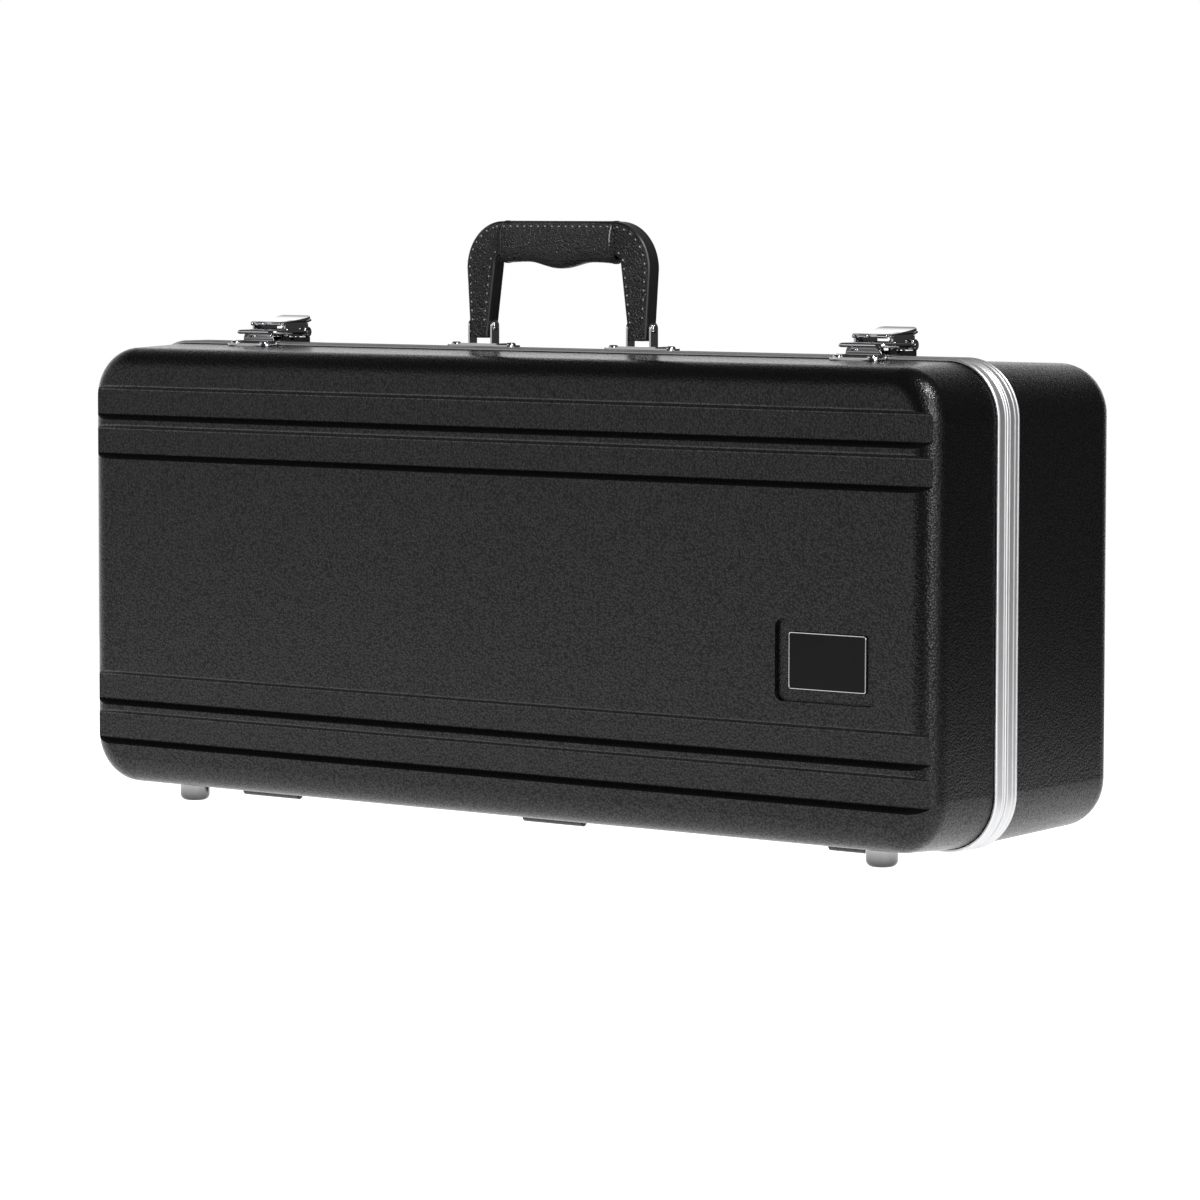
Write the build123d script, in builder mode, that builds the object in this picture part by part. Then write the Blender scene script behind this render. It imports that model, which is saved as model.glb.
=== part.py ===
from build123d import *
import os
from math import cos, hypot, radians, sin, tan

# Alto saxophone case, standing on its four feet.
# X runs along the length, -Y is the front (the lid), +Z is up, all in millimetres.
# The origin is the centre of the footprint, on the ground.

# Shells
shell_length = 650.0
shell_height = 275.0
lid_depth = 66.0
base_depth = 117.0
corner_radius = 33.0
fold_radius = 15.0
lid_draft = 2.4
base_draft = 2.0
wall = 3.0
ground_clearance = 9.5

# Pressed channels on the front and the back, two above and two below the plain panel
channel_above = 8.5
channel_below = 7.2
channel_depth = 4.5
channel_top_run = 1.5
channel_bottom_run = 3.0
channel_round = 1.2
channel_lip_round = 2.0
channel_mouth_skim = 0.02
channel_pitch = 24.4
channel_from_edge = 36.3

# Badge pocket and badge plate
pocket_width = 71.0
pocket_height = 46.5
pocket_depth = 2.5
pocket_corner = 5.0
pocket_from_end = 75.5
pocket_drop = 30.5
badge_width = 54.0
badge_height = 32.5
badge_thickness = 1.2
badge_corner = 1.6

# Aluminium valance, one ring on the rim of each half
valance_proud = 1.6
valance_inner = 1.2
valance_inner_width = 9.0
valance_web = 1.4
valance_slip = 0.05
valance_inner_gap = 0.45
lid_valance_width = 9.3
base_valance_width = 11.7
bead_width = 2.2
bead_relief = 0.7
seam_gap = 0.4
tongue_width = 1.4
tongue_height = 1.6
tongue_clearance = 0.3

# Fasteners
rivet_shank = 3.0
rivet_hole_clearance = 0.05
rivet_head = 6.0
rivet_head_height = 1.5
rivet_tail = 5.0
rivet_tail_height = 0.7
rivet_seat_clearance = 0.1

# Feet
foot_diameter = 18.5
foot_edge_radius = 4.0
foot_from_end = 60.5
foot_from_seam = 32.0
rear_foot_from_end = 85.0
rear_foot_from_seam = 80.0
foot_screw_diameter = 4.0
foot_screw_head = 8.0
foot_screw_head_height = 1.4
foot_screw_depth = 6.0

# Hinges on the bottom of the seam
hinge_length = 45.0
hinge_from_end = 97.0
hinge_knuckles = 7
hinge_knuckle_gap = 0.2
hinge_barrel = 6.2
hinge_pin = 2.4
hinge_pin_clearance = 0.08
hinge_pin_head = 4.0
hinge_pin_head_height = 0.8
hinge_leaf = 1.2
hinge_leaf_reach = 9.0
hinge_barrel_clearance = 0.1
hinge_leaf_clearance = 0.4
hinge_rivet_from_seam = 6.2
hinge_rivet_spread = 15.0

# Handle and its two mounting plates
handle_from_seam = 6.2
handle_rise = 77.0
handle_leg_x = 59.3
handle_leg_width = 21.8
handle_leg_foot_x = 60.9
handle_leg_foot_width = 12.8
handle_leg_foot_rise = 6.9
handle_bar_height = 20.0
handle_outer_corner = 28.0
handle_shoulder_drop = 4.0
handle_inner_corner = 6.0
handle_core_thickness = 3.4
handle_panel_thickness = 3.9
handle_core_inset = 0.8
handle_panel_round = 1.2
handle_pivot_rise = 14.3
handle_bush_diameter = 5.2
handle_pin_diameter = 3.0
handle_pin_clearance = 0.08
handle_pin_head = 5.4
handle_pin_head_height = 1.2
handle_plate_length = 52.0
handle_plate_depth = 11.0
handle_plate_thickness = 1.2
handle_plate_pad_length = 28.0
handle_plate_pad_rise = 0.9
handle_ear_thickness = 1.2
handle_ear_width = 7.0
handle_ear_clearance = 0.4
handle_rivet_spread = 21.5
grip_length = 87.0
grip_thickness = 17.0
grip_cover = 1.0
grip_belly = 7.8
grip_waist = 3.6
grip_round = 5.5

# Draw latches on the top of the seam
latch_from_end = 93.0
latch_base_half_width = 14.0
latch_base_front = 0.8
latch_base_rear = 24.5
latch_base_rise = 4.4
latch_metal = 1.2
latch_pivot_from_seam = 4.5
latch_pivot_rise = 8.4
latch_pin_diameter = 3.0
latch_pin_clearance = 0.08
latch_ear_width = 6.0
latch_ear_outer = 12.1
latch_ear_thickness = 1.4
latch_cheek_inner = 12.4
latch_cheek_thickness = 1.4
lever_front = 1.8
lever_flat_end = 19.5
lever_tip = 26.0
lever_rise = 12.3
lever_tip_rise = 14.4
lever_thickness = 1.3
bail_pin_from_seam = 20.0
bail_pin_rise = 7.6
bail_arm_inner = 14.9
bail_arm_thickness = 2.0
bail_arm_height = 3.6
bail_eye = 6.0
bail_bar_front = -12.6
bail_bar_depth = 2.8
bail_bar_low = 6.3
bail_bar_height = 2.9
latch_rivet_from_seam = 17.5
latch_rivet_spread = 7.5
keeper_half_width = 17.4
keeper_front = -20.0
keeper_rear = -1.0
keeper_flange_rise = 0.9
keeper_ridge_half_width = 13.0
keeper_ridge_thickness = 2.0
keeper_ridge_rise = 9.6
keeper_bar_clearance = 0.3
keeper_rivet_from_seam = -15.5
keeper_rivet_spread = 12.0

# Padded liners with their recesses
liner_side_gap = 3.0
liner_rim_drop = 2.0
liner_edge_round = 4.0
base_recess_floor = 16.0
lid_recess_floor = 14.0
bell_from_end = 120.0
bell_drop = 34.0
bell_radius = 80.0
neck_end_from_end = 92.0
neck_end_drop = 56.0
neck_end_radius = 54.0
pocket_row_from_top = 47.5
pocket_row_height = 56.0
accessory_length = 200.0
accessory_from_end = 137.0
accessory_depth = 78.0
neck_length = 210.0
neck_x = 42.0
neck_depth = 60.0
mouthpiece_length = 118.0
mouthpiece_from_end = 97.0
mouthpiece_depth = 44.0
recess_corner = 14.0
lid_recess_end_margin = 45.0
lid_recess_side_margin = 37.5
lid_recess_corner = 40.0

# Places worked out from the sizes above
seam_y = (lid_depth - base_depth) / 2
mid_z = ground_clearance + shell_height / 2
top_z = ground_clearance + shell_height
front_y = seam_y - lid_depth
back_y = seam_y + base_depth
shell_edge = seam_gap / 2 + valance_web + valance_slip
hinge_axis_z = ground_clearance - valance_proud - hinge_barrel_clearance - hinge_barrel / 2
handle_y = seam_y + handle_from_seam
handle_pivot_z = top_z + handle_pivot_rise
handle_shoulder = handle_rise - handle_outer_corner - handle_shoulder_drop
handle_under = handle_rise - handle_bar_height
leg_half_change = (handle_leg_width - handle_leg_foot_width) / 2
leg_lean = handle_leg_foot_x - handle_leg_x
leg_flare = max(
    (leg_half_change - leg_lean) / (handle_shoulder - handle_leg_foot_rise),
    (leg_half_change + leg_lean) / (handle_under - handle_leg_foot_rise),
)
ear_top_rise = handle_pivot_rise + handle_ear_width / 2
handle_ear_gap = handle_ear_clearance + leg_flare * (ear_top_rise - handle_leg_foot_rise)
rivet_hole = rivet_shank / 2 + rivet_hole_clearance
half_length = shell_length / 2
half_height = shell_height / 2
foot_x = half_length - foot_from_end
rear_foot_x = half_length - rear_foot_from_end
hinge_x = half_length - hinge_from_end
latch_x = half_length - latch_from_end
pocket_x = half_length - pocket_from_end
bell_x = bell_from_end - half_length
neck_end_x = half_length - neck_end_from_end
accessory_x = accessory_from_end - half_length
mouthpiece_x = half_length - mouthpiece_from_end
pocket_row_rise = half_height - pocket_row_from_top
channel_rises = [
    side * (half_height - channel_from_edge - step * channel_pitch) for side in (1, -1) for step in (0, 1)
]

# Seam planes look out of each half, tilted planes lie on the drafted walls
seam_origin = (0, seam_y, mid_z)
lid_seam = Plane(origin=seam_origin, x_dir=(1, 0, 0), z_dir=(0, -1, 0))
base_seam = Plane(origin=seam_origin, x_dir=(-1, 0, 0), z_dir=(0, 1, 0))
lid_slope = radians(lid_draft)
base_slope = radians(base_draft)
lid_edge_y = seam_y - shell_edge
base_edge_y = seam_y + shell_edge
lid_top = Plane(
    origin=(0, lid_edge_y, top_z), x_dir=(1, 0, 0), z_dir=(0, -sin(lid_slope), cos(lid_slope))
)
base_top = Plane(
    origin=(0, base_edge_y, top_z), x_dir=(1, 0, 0), z_dir=(0, sin(base_slope), cos(base_slope))
)
lid_bottom = Plane(
    origin=(0, lid_edge_y, ground_clearance),
    x_dir=(1, 0, 0),
    z_dir=(0, -sin(lid_slope), -cos(lid_slope)),
)
base_bottom = Plane(
    origin=(0, base_edge_y, ground_clearance),
    x_dir=(1, 0, 0),
    z_dir=(0, sin(base_slope), -cos(base_slope)),
)
valance_top = Plane(origin=(0, seam_y, top_z + valance_proud))
valance_bottom = Plane(
    origin=(0, seam_y, ground_clearance - valance_proud), x_dir=(1, 0, 0), z_dir=(0, 0, -1)
)

os.makedirs("parts", exist_ok=True)


def save(part, name):
    """Label a finished piece and write it under its node's name."""
    part.label = name
    export_step(part, f"parts/{name}.step")


def rounded_outline(grow, mode=Mode.ADD):
    """The case's outline at the seam, grown or shrunk by a margin."""
    RectangleRounded(
        shell_length + 2 * grow, shell_height + 2 * grow, corner_radius + grow, mode=mode
    )


def tray_solid(seam, depth, draft, inset):
    """A drafted tray with a rounded fold, from the shell's rim to its big face."""
    with BuildPart() as tray:
        with BuildSketch(seam.offset(shell_edge)):
            rounded_outline(-inset)
        extrude(amount=depth - inset - shell_edge, taper=draft)
        big_face = tray.faces().sort_by(Axis(seam.origin, seam.z_dir))[-1]
        fillet(big_face.edges(), fold_radius - inset)
    return tray.part


def at_one_of(vertex, places):
    """True for a sketch corner that stands at one of the places, given as Y and Z."""
    return any(hypot(vertex.X - y, vertex.Y - z) < 0.01 for y, z in places)


def channel_bars(face_y, outward, grow):
    """Four bars along X that fill the channels, with rounded mouths, grown by a wall."""
    floor_y = face_y - outward * (channel_depth + grow)
    mouth_y = face_y + outward * channel_mouth_skim
    outer_y = face_y + outward * channel_depth
    with BuildPart() as bars:
        for rise in channel_rises:
            high = mid_z + rise + channel_above + grow
            low = mid_z + rise - channel_below - grow
            high_mouth = high + channel_top_run
            low_mouth = low - channel_bottom_run
            with BuildSketch(Plane.YZ):
                with BuildLine():
                    Polyline(
                        (outer_y, low_mouth - channel_round),
                        (mouth_y, low_mouth - channel_round),
                        (mouth_y, low_mouth),
                        (floor_y, low),
                        (floor_y, high),
                        (mouth_y, high_mouth),
                        (mouth_y, high_mouth + channel_lip_round),
                        (outer_y, high_mouth + channel_lip_round),
                        close=True,
                    )
                make_face()
                corners = {
                    channel_round: [(floor_y, low), (floor_y, high), (mouth_y, low_mouth)],
                    channel_lip_round: [(mouth_y, high_mouth)],
                }
                for radius, places in corners.items():
                    fillet([v for v in vertices() if at_one_of(v, places)], radius)
            extrude(amount=shell_length / 2, both=True)
    return bars.part


def holes(plane, points, radius, depth):
    """Round cutters that go into a wall from a plane, at the points on it."""
    with BuildPart() as cutters:
        with BuildSketch(plane.offset(-depth)):
            with Locations(*points):
                Circle(radius)
        extrude(amount=depth + wall)
    return cutters.part


def rivets(plane, points, above, below):
    """Domed rivets: the head sits above the plane, the tail is clenched below it."""
    with BuildPart() as group:
        with BuildSketch(plane.offset(-below)):
            with Locations(*points):
                Circle(rivet_shank / 2)
        extrude(amount=above + below)
        with BuildSketch(plane.offset(above)):
            with Locations(*points):
                Circle(rivet_head / 2)
        extrude(amount=rivet_head_height)
        rim = group.faces().sort_by(Axis(plane.origin, plane.z_dir))[-len(points):]
        fillet([edge for face in rim for edge in face.edges()], rivet_head_height * 0.9)
        with BuildSketch(plane.offset(-below)):
            with Locations(*points):
                Circle(rivet_tail / 2)
        extrude(amount=-rivet_tail_height)
    return group.part


# Where the fasteners stand, as X and distance behind the seam
hinge_centres = {"left": -hinge_x, "middle": 0.0, "right": hinge_x}
side_signs = {"left": -1, "right": 1}
hinge_rivet_xs = [
    centre + step * hinge_rivet_spread for centre in hinge_centres.values() for step in (-1, 0, 1)
]
lid_hinge_points = [(x, hinge_rivet_from_seam) for x in hinge_rivet_xs]
base_hinge_points = [(x, -hinge_rivet_from_seam) for x in hinge_rivet_xs]
handle_plate_xs = {name: sign * handle_leg_foot_x for name, sign in side_signs.items()}
handle_rivet_points = [
    (centre + step * handle_rivet_spread, handle_from_seam)
    for centre in handle_plate_xs.values()
    for step in (-1, 1)
]
latch_centres = {name: sign * latch_x for name, sign in side_signs.items()}
latch_rivet_points = [
    (centre + step * latch_rivet_spread, latch_rivet_from_seam - shell_edge)
    for centre in latch_centres.values()
    for step in (-1, 1)
]
keeper_rivet_points = [
    (centre + step * keeper_rivet_spread, keeper_rivet_from_seam + shell_edge)
    for centre in latch_centres.values()
    for step in (-1, 1)
]
front_foot_points = [(sign * foot_x, foot_from_seam - shell_edge) for sign in (-1, 1)]
rear_foot_points = [(sign * rear_foot_x, shell_edge - rear_foot_from_seam) for sign in (-1, 1)]
rim_grip = valance_proud + wall + valance_inner_gap + valance_inner

# Shells
lid_block = tray_solid(lid_seam, lid_depth, lid_draft, 0)
lid_room = tray_solid(lid_seam, lid_depth, lid_draft, wall)
base_block = tray_solid(base_seam, base_depth, base_draft, 0)
base_room = tray_solid(base_seam, base_depth, base_draft, wall)
front_channels = channel_bars(front_y, -1, 0)
back_channels = channel_bars(back_y, 1, 0)
with BuildPart() as front_bosses:
    add(channel_bars(front_y, -1, wall))
    add(lid_block, mode=Mode.INTERSECT)
with BuildPart() as back_bosses:
    add(channel_bars(back_y, 1, wall))
    add(base_block, mode=Mode.INTERSECT)
pocket_plane = Plane(
    origin=(pocket_x, front_y, mid_z - pocket_drop), x_dir=(1, 0, 0), z_dir=(0, -1, 0)
)

with BuildPart() as lid_shell:
    add(lid_block)
    add(lid_room, mode=Mode.SUBTRACT)
    add(front_bosses.part)
    with BuildSketch(pocket_plane.offset(-pocket_depth - wall)):
        RectangleRounded(pocket_width + 2 * wall, pocket_height + 2 * wall, pocket_corner + wall)
    extrude(amount=pocket_depth + wall / 2)
    add(front_channels, mode=Mode.SUBTRACT)
    with BuildSketch(pocket_plane.offset(-pocket_depth)):
        RectangleRounded(pocket_width, pocket_height, pocket_corner)
    extrude(amount=2 * pocket_depth, mode=Mode.SUBTRACT)
    add(holes(valance_bottom, lid_hinge_points, rivet_hole, rim_grip), mode=Mode.SUBTRACT)
    add(holes(lid_top, keeper_rivet_points, rivet_hole, 2 * wall), mode=Mode.SUBTRACT)
    screw_hole = foot_screw_diameter / 2 + rivet_hole_clearance
    add(holes(lid_bottom, front_foot_points, screw_hole, 2 * wall), mode=Mode.SUBTRACT)
save(lid_shell.part, "lid_shell")

with BuildPart() as base_shell:
    add(base_block)
    add(base_room, mode=Mode.SUBTRACT)
    add(back_bosses.part)
    add(back_channels, mode=Mode.SUBTRACT)
    add(holes(valance_bottom, base_hinge_points, rivet_hole, rim_grip), mode=Mode.SUBTRACT)
    add(holes(valance_top, handle_rivet_points, rivet_hole, rim_grip), mode=Mode.SUBTRACT)
    add(holes(base_top, latch_rivet_points, rivet_hole, 2 * wall), mode=Mode.SUBTRACT)
    add(holes(base_bottom, rear_foot_points, screw_hole, 2 * wall), mode=Mode.SUBTRACT)
save(base_shell.part, "base_shell")


def valance_ring(seam, width):
    """A rim extrusion: outer flange with two beads, web over the wall's edge, inner flange."""
    start = seam_gap / 2
    with BuildPart() as ring:
        with BuildSketch(seam.offset(start)):
            rounded_outline(valance_proud)
            rounded_outline(-wall - valance_inner_gap - valance_inner, mode=Mode.SUBTRACT)
        extrude(amount=valance_web)
        with BuildSketch(seam.offset(start)):
            rounded_outline(valance_proud)
            rounded_outline(valance_slip, mode=Mode.SUBTRACT)
        extrude(amount=width - start)
        with BuildSketch(seam.offset(start)):
            rounded_outline(-wall - valance_inner_gap)
            rounded_outline(-wall - valance_inner_gap - valance_inner, mode=Mode.SUBTRACT)
        extrude(amount=valance_inner_width - start)
        with BuildSketch(seam.offset(start + bead_width / 2)):
            rounded_outline(valance_proud + valance_slip)
            rounded_outline(valance_proud - bead_relief, mode=Mode.SUBTRACT)
        extrude(amount=width - start - bead_width * 1.5, mode=Mode.SUBTRACT)
        middle = (start + width) / 2
        with BuildSketch(seam.offset(middle - bead_width / 4)):
            rounded_outline(valance_proud - bead_relief / 3)
            rounded_outline(valance_proud - bead_relief, mode=Mode.SUBTRACT)
        extrude(amount=bead_width / 2)
    return ring.part


with BuildPart() as lid_valance:
    add(valance_ring(lid_seam, lid_valance_width))
    with BuildSketch(lid_seam.offset(seam_gap / 2)):
        rounded_outline(-wall / 2 + tongue_width / 2)
        rounded_outline(-wall / 2 - tongue_width / 2, mode=Mode.SUBTRACT)
    extrude(amount=-tongue_height)
    add(holes(valance_bottom, lid_hinge_points, rivet_hole, rim_grip), mode=Mode.SUBTRACT)
save(lid_valance.part, "lid_valance")

with BuildPart() as base_valance:
    add(valance_ring(base_seam, base_valance_width))
    groove_half = tongue_width / 2 + tongue_clearance
    with BuildSketch(base_seam.offset(seam_gap / 2)):
        rounded_outline(-wall / 2 + groove_half)
        rounded_outline(-wall / 2 - groove_half, mode=Mode.SUBTRACT)
    extrude(amount=tongue_height - seam_gap + tongue_clearance / 2, mode=Mode.SUBTRACT)
    add(holes(valance_bottom, base_hinge_points, rivet_hole, rim_grip), mode=Mode.SUBTRACT)
    add(holes(valance_top, handle_rivet_points, rivet_hole, rim_grip), mode=Mode.SUBTRACT)
save(base_valance.part, "base_valance")

# Badge plate in its pocket
with BuildPart() as badge:
    with BuildSketch(pocket_plane.offset(-pocket_depth)):
        RectangleRounded(badge_width, badge_height, badge_corner)
    extrude(amount=badge_thickness)
    chamfer(badge.faces().sort_by(Axis.Y)[0].edges(), badge_thickness / 4)
save(badge.part, "badge_plate")


def liner_block(seam, depth, draft):
    """The padded block that fills a half, clear of the rim's inner flange."""
    inset = wall + liner_side_gap
    with BuildPart() as block:
        with BuildSketch(seam.offset(liner_rim_drop)):
            rounded_outline(-inset)
        extrude(amount=depth - wall - channel_depth - liner_rim_drop, taper=draft)
        rim = block.faces().sort_by(Axis(seam.origin, seam.z_dir))[0]
        fillet(rim.edges(), liner_edge_round)
    return block.part


def recess(seam, floor_depth, shapes):
    """Cutters from the seam down to a depth, in one sketch of placed shapes."""
    with BuildPart() as cutter:
        with BuildSketch(seam) as plan:
            shapes()
        extrude(plan.sketch, amount=floor_depth)
        floor = cutter.faces().sort_by(Axis(seam.origin, seam.z_dir))[-1]
        fillet(floor.edges(), recess_corner / 2)
    return cutter.part


def horn_plan():
    """The horn's outline: the bell's circle and the neck end's circle, in one hull."""
    with Locations((-bell_x, -bell_drop)):
        Circle(bell_radius)
    with Locations((-neck_end_x, -neck_end_drop)):
        Circle(neck_end_radius)
    make_hull()


def box_plan(length, place_x):
    """One rounded compartment in the upper row."""

    def plan():
        with Locations((-place_x, pocket_row_rise)):
            RectangleRounded(length, pocket_row_height, recess_corner)

    return plan


horn_floor = base_depth - wall - channel_depth - base_recess_floor
with BuildPart() as base_liner:
    add(liner_block(base_seam, base_depth, base_draft))
    add(recess(base_seam, horn_floor, horn_plan), mode=Mode.SUBTRACT)
    for length, place_x, depth in (
        (accessory_length, accessory_x, accessory_depth),
        (neck_length, neck_x, neck_depth),
        (mouthpiece_length, mouthpiece_x, mouthpiece_depth),
    ):
        add(recess(base_seam, depth, box_plan(length, place_x)), mode=Mode.SUBTRACT)
save(base_liner.part, "base_liner")


def lid_plan():
    """The lid's single wide recess."""
    RectangleRounded(
        shell_length - 2 * lid_recess_end_margin,
        shell_height - 2 * lid_recess_side_margin,
        lid_recess_corner,
    )


lid_floor = lid_depth - wall - channel_depth - lid_recess_floor
with BuildPart() as lid_liner:
    add(liner_block(lid_seam, lid_depth, lid_draft))
    add(recess(lid_seam, lid_floor, lid_plan), mode=Mode.SUBTRACT)
save(lid_liner.part, "lid_liner")


def foot(place_x, from_seam, under):
    """A chromed stud with a rounded lower edge, cut to the shell's drafted underside."""
    with BuildPart() as stud:
        with BuildSketch(Plane.XY):
            with Locations((place_x, seam_y + from_seam)):
                Circle(foot_diameter / 2)
        extrude(amount=ground_clearance + wall)
        fillet(stud.faces().sort_by(Axis.Z)[0].edges(), foot_edge_radius)
        split(bisect_by=under, keep=Keep.TOP)
        plane_y = (abs(from_seam) - shell_edge) * (1 if from_seam < 0 else -1)
        with BuildSketch(under):
            with Locations((place_x, plane_y)):
                Circle(foot_screw_diameter / 2)
        extrude(amount=foot_screw_depth, mode=Mode.SUBTRACT)
    return stud.part


def foot_screws(under, points):
    """Screws from inside each half down into its feet, with their heads on the inner wall."""
    with BuildPart() as screws:
        with BuildSketch(under.offset(-wall)):
            with Locations(*points):
                Circle(foot_screw_diameter / 2)
        extrude(amount=wall + foot_screw_depth)
        with BuildSketch(under.offset(-wall)):
            with Locations(*points):
                Circle(foot_screw_head / 2)
        extrude(amount=-foot_screw_head_height)
    return screws.part


for name, sign in side_signs.items():
    save(foot(sign * foot_x, -foot_from_seam, lid_bottom), f"front_foot_{name}")
    save(foot(sign * rear_foot_x, rear_foot_from_seam, base_bottom), f"rear_foot_{name}")
save(foot_screws(lid_bottom, front_foot_points), "front_foot_screws")
save(foot_screws(base_bottom, rear_foot_points), "rear_foot_screws")


def hinge_leaf_part(centre, side):
    """One leaf with its rolled knuckles; side is -1 for the lid and 1 for the base."""
    pitch = (hinge_length + hinge_knuckle_gap) / hinge_knuckles
    own = [n for n in range(hinge_knuckles) if (n % 2 == 0) == (side > 0)]
    others = [n for n in range(hinge_knuckles) if n not in own]
    first = centre - hinge_length / 2
    leaf_low = ground_clearance - valance_proud - hinge_leaf
    relief = hinge_barrel / 2 + hinge_leaf_clearance
    with BuildPart() as leaf:
        with BuildSketch(Plane.XY.offset(leaf_low)):
            with Locations((centre, seam_y + side * hinge_leaf_reach / 2)):
                Rectangle(hinge_length, hinge_leaf_reach)
        extrude(amount=hinge_leaf)
        for n in others:
            slot_x = first + (n + 0.5) * pitch - hinge_knuckle_gap / 2
            with BuildSketch(Plane.XY.offset(leaf_low)):
                with Locations((slot_x, seam_y)):
                    Rectangle(pitch + hinge_knuckle_gap, 2 * relief)
            extrude(amount=hinge_leaf, mode=Mode.SUBTRACT)
        for n in own:
            knuckle_start = first + n * pitch
            with BuildSketch(Plane.YZ.offset(knuckle_start)):
                with Locations((seam_y, hinge_axis_z)):
                    Circle(hinge_barrel / 2)
            extrude(amount=pitch - hinge_knuckle_gap)
            with BuildSketch(Plane.YZ.offset(knuckle_start)):
                with Locations((seam_y + side * hinge_barrel / 4, hinge_axis_z + hinge_barrel / 4)):
                    Rectangle(hinge_barrel / 2, hinge_barrel / 2)
            extrude(amount=pitch - hinge_knuckle_gap)
        with BuildSketch(Plane.YZ.offset(first - hinge_knuckle_gap)):
            with Locations((seam_y, hinge_axis_z)):
                Circle(hinge_pin / 2 + hinge_pin_clearance)
        extrude(amount=hinge_length + 2 * hinge_knuckle_gap, mode=Mode.SUBTRACT)
        with BuildSketch(Plane.XY.offset(leaf_low)):
            with Locations(
                *[
                    (centre + step * hinge_rivet_spread, seam_y + side * hinge_rivet_from_seam)
                    for step in (-1, 0, 1)
                ]
            ):
                Circle(rivet_hole)
        extrude(amount=hinge_leaf, mode=Mode.SUBTRACT)
    return leaf.part


def hinge_pin_part(centre):
    """A pin with a small head at each end of the barrel."""
    reach = hinge_length / 2 + hinge_knuckle_gap / 2
    with BuildPart() as pin:
        with BuildSketch(Plane.YZ.offset(centre - reach)):
            with Locations((seam_y, hinge_axis_z)):
                Circle(hinge_pin / 2)
        extrude(amount=2 * reach)
        for start, amount in ((centre + reach, hinge_pin_head_height), (centre - reach, -hinge_pin_head_height)):
            with BuildSketch(Plane.YZ.offset(start)):
                with Locations((seam_y, hinge_axis_z)):
                    Circle(hinge_pin_head / 2)
            extrude(amount=amount)
    return pin.part


for name, centre in hinge_centres.items():
    save(hinge_leaf_part(centre, 1), f"hinge_base_leaf_{name}")
    save(hinge_leaf_part(centre, -1), f"hinge_lid_leaf_{name}")
    save(hinge_pin_part(centre), f"hinge_pin_{name}")
save(rivets(valance_bottom, lid_hinge_points, hinge_leaf, rim_grip), "hinge_lid_rivets")
save(rivets(valance_bottom, base_hinge_points, hinge_leaf, rim_grip), "hinge_base_rivets")


def handle_layer(start, thickness, shrink, rounded):
    """One U-shaped layer, from start behind the middle plane; its legs narrow downwards."""
    outer_top = handle_leg_x + handle_leg_width / 2 - shrink
    inner_top = handle_leg_x - handle_leg_width / 2 + shrink
    outer_foot = handle_leg_foot_x + handle_leg_foot_width / 2 - shrink
    inner_foot = handle_leg_foot_x - handle_leg_foot_width / 2 + shrink
    foot_z = handle_leg_foot_rise + shrink
    top = handle_rise - shrink
    under = handle_under + shrink
    face = Plane(origin=(0, handle_y + start, top_z), x_dir=(1, 0, 0), z_dir=(0, -1, 0))
    with BuildPart() as layer:
        with BuildSketch(face):
            with BuildLine():
                Polyline(
                    (-outer_foot, foot_z),
                    (-outer_top, handle_shoulder),
                    (-outer_top, top),
                    (outer_top, top),
                    (outer_top, handle_shoulder),
                    (outer_foot, foot_z),
                    (inner_foot, foot_z),
                    (inner_top, under),
                    (-inner_top, under),
                    (-inner_foot, foot_z),
                    close=True,
                )
            make_face()
            fillet([v for v in vertices() if abs(v.Y - top) < 0.01], handle_outer_corner - shrink)
            fillet([v for v in vertices() if abs(v.Y - under) < 0.01], handle_inner_corner + shrink)
        extrude(amount=thickness)
        if rounded:
            outer = layer.faces().sort_by(Axis.Y)[0 if rounded < 0 else -1]
            fillet(outer.edges(), handle_panel_round)
        with BuildSketch(Plane.YZ):
            with Locations((handle_y, handle_pivot_z)):
                Circle(handle_bush_diameter / 2 + handle_pin_clearance)
        extrude(amount=handle_leg_x + handle_leg_width, both=True, mode=Mode.SUBTRACT)
    return layer.part


core_half = handle_core_thickness / 2
handle_half = core_half + handle_panel_thickness
save(handle_layer(core_half, handle_core_thickness, handle_core_inset, 0), "handle_core")
save(handle_layer(-core_half, handle_panel_thickness, 0, -1), "handle_front_panel")
save(handle_layer(handle_half, handle_panel_thickness, 0, 1), "handle_rear_panel")

with BuildPart() as handle_bushes:
    for centre in handle_plate_xs.values():
        with BuildSketch(Plane.YZ.offset(centre - handle_leg_foot_width / 2)):
            with Locations((handle_y, handle_pivot_z)):
                Circle(handle_bush_diameter / 2)
                Circle(handle_pin_diameter / 2 + handle_pin_clearance, mode=Mode.SUBTRACT)
        extrude(amount=handle_leg_foot_width)
save(handle_bushes.part, "handle_bushes")

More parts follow.
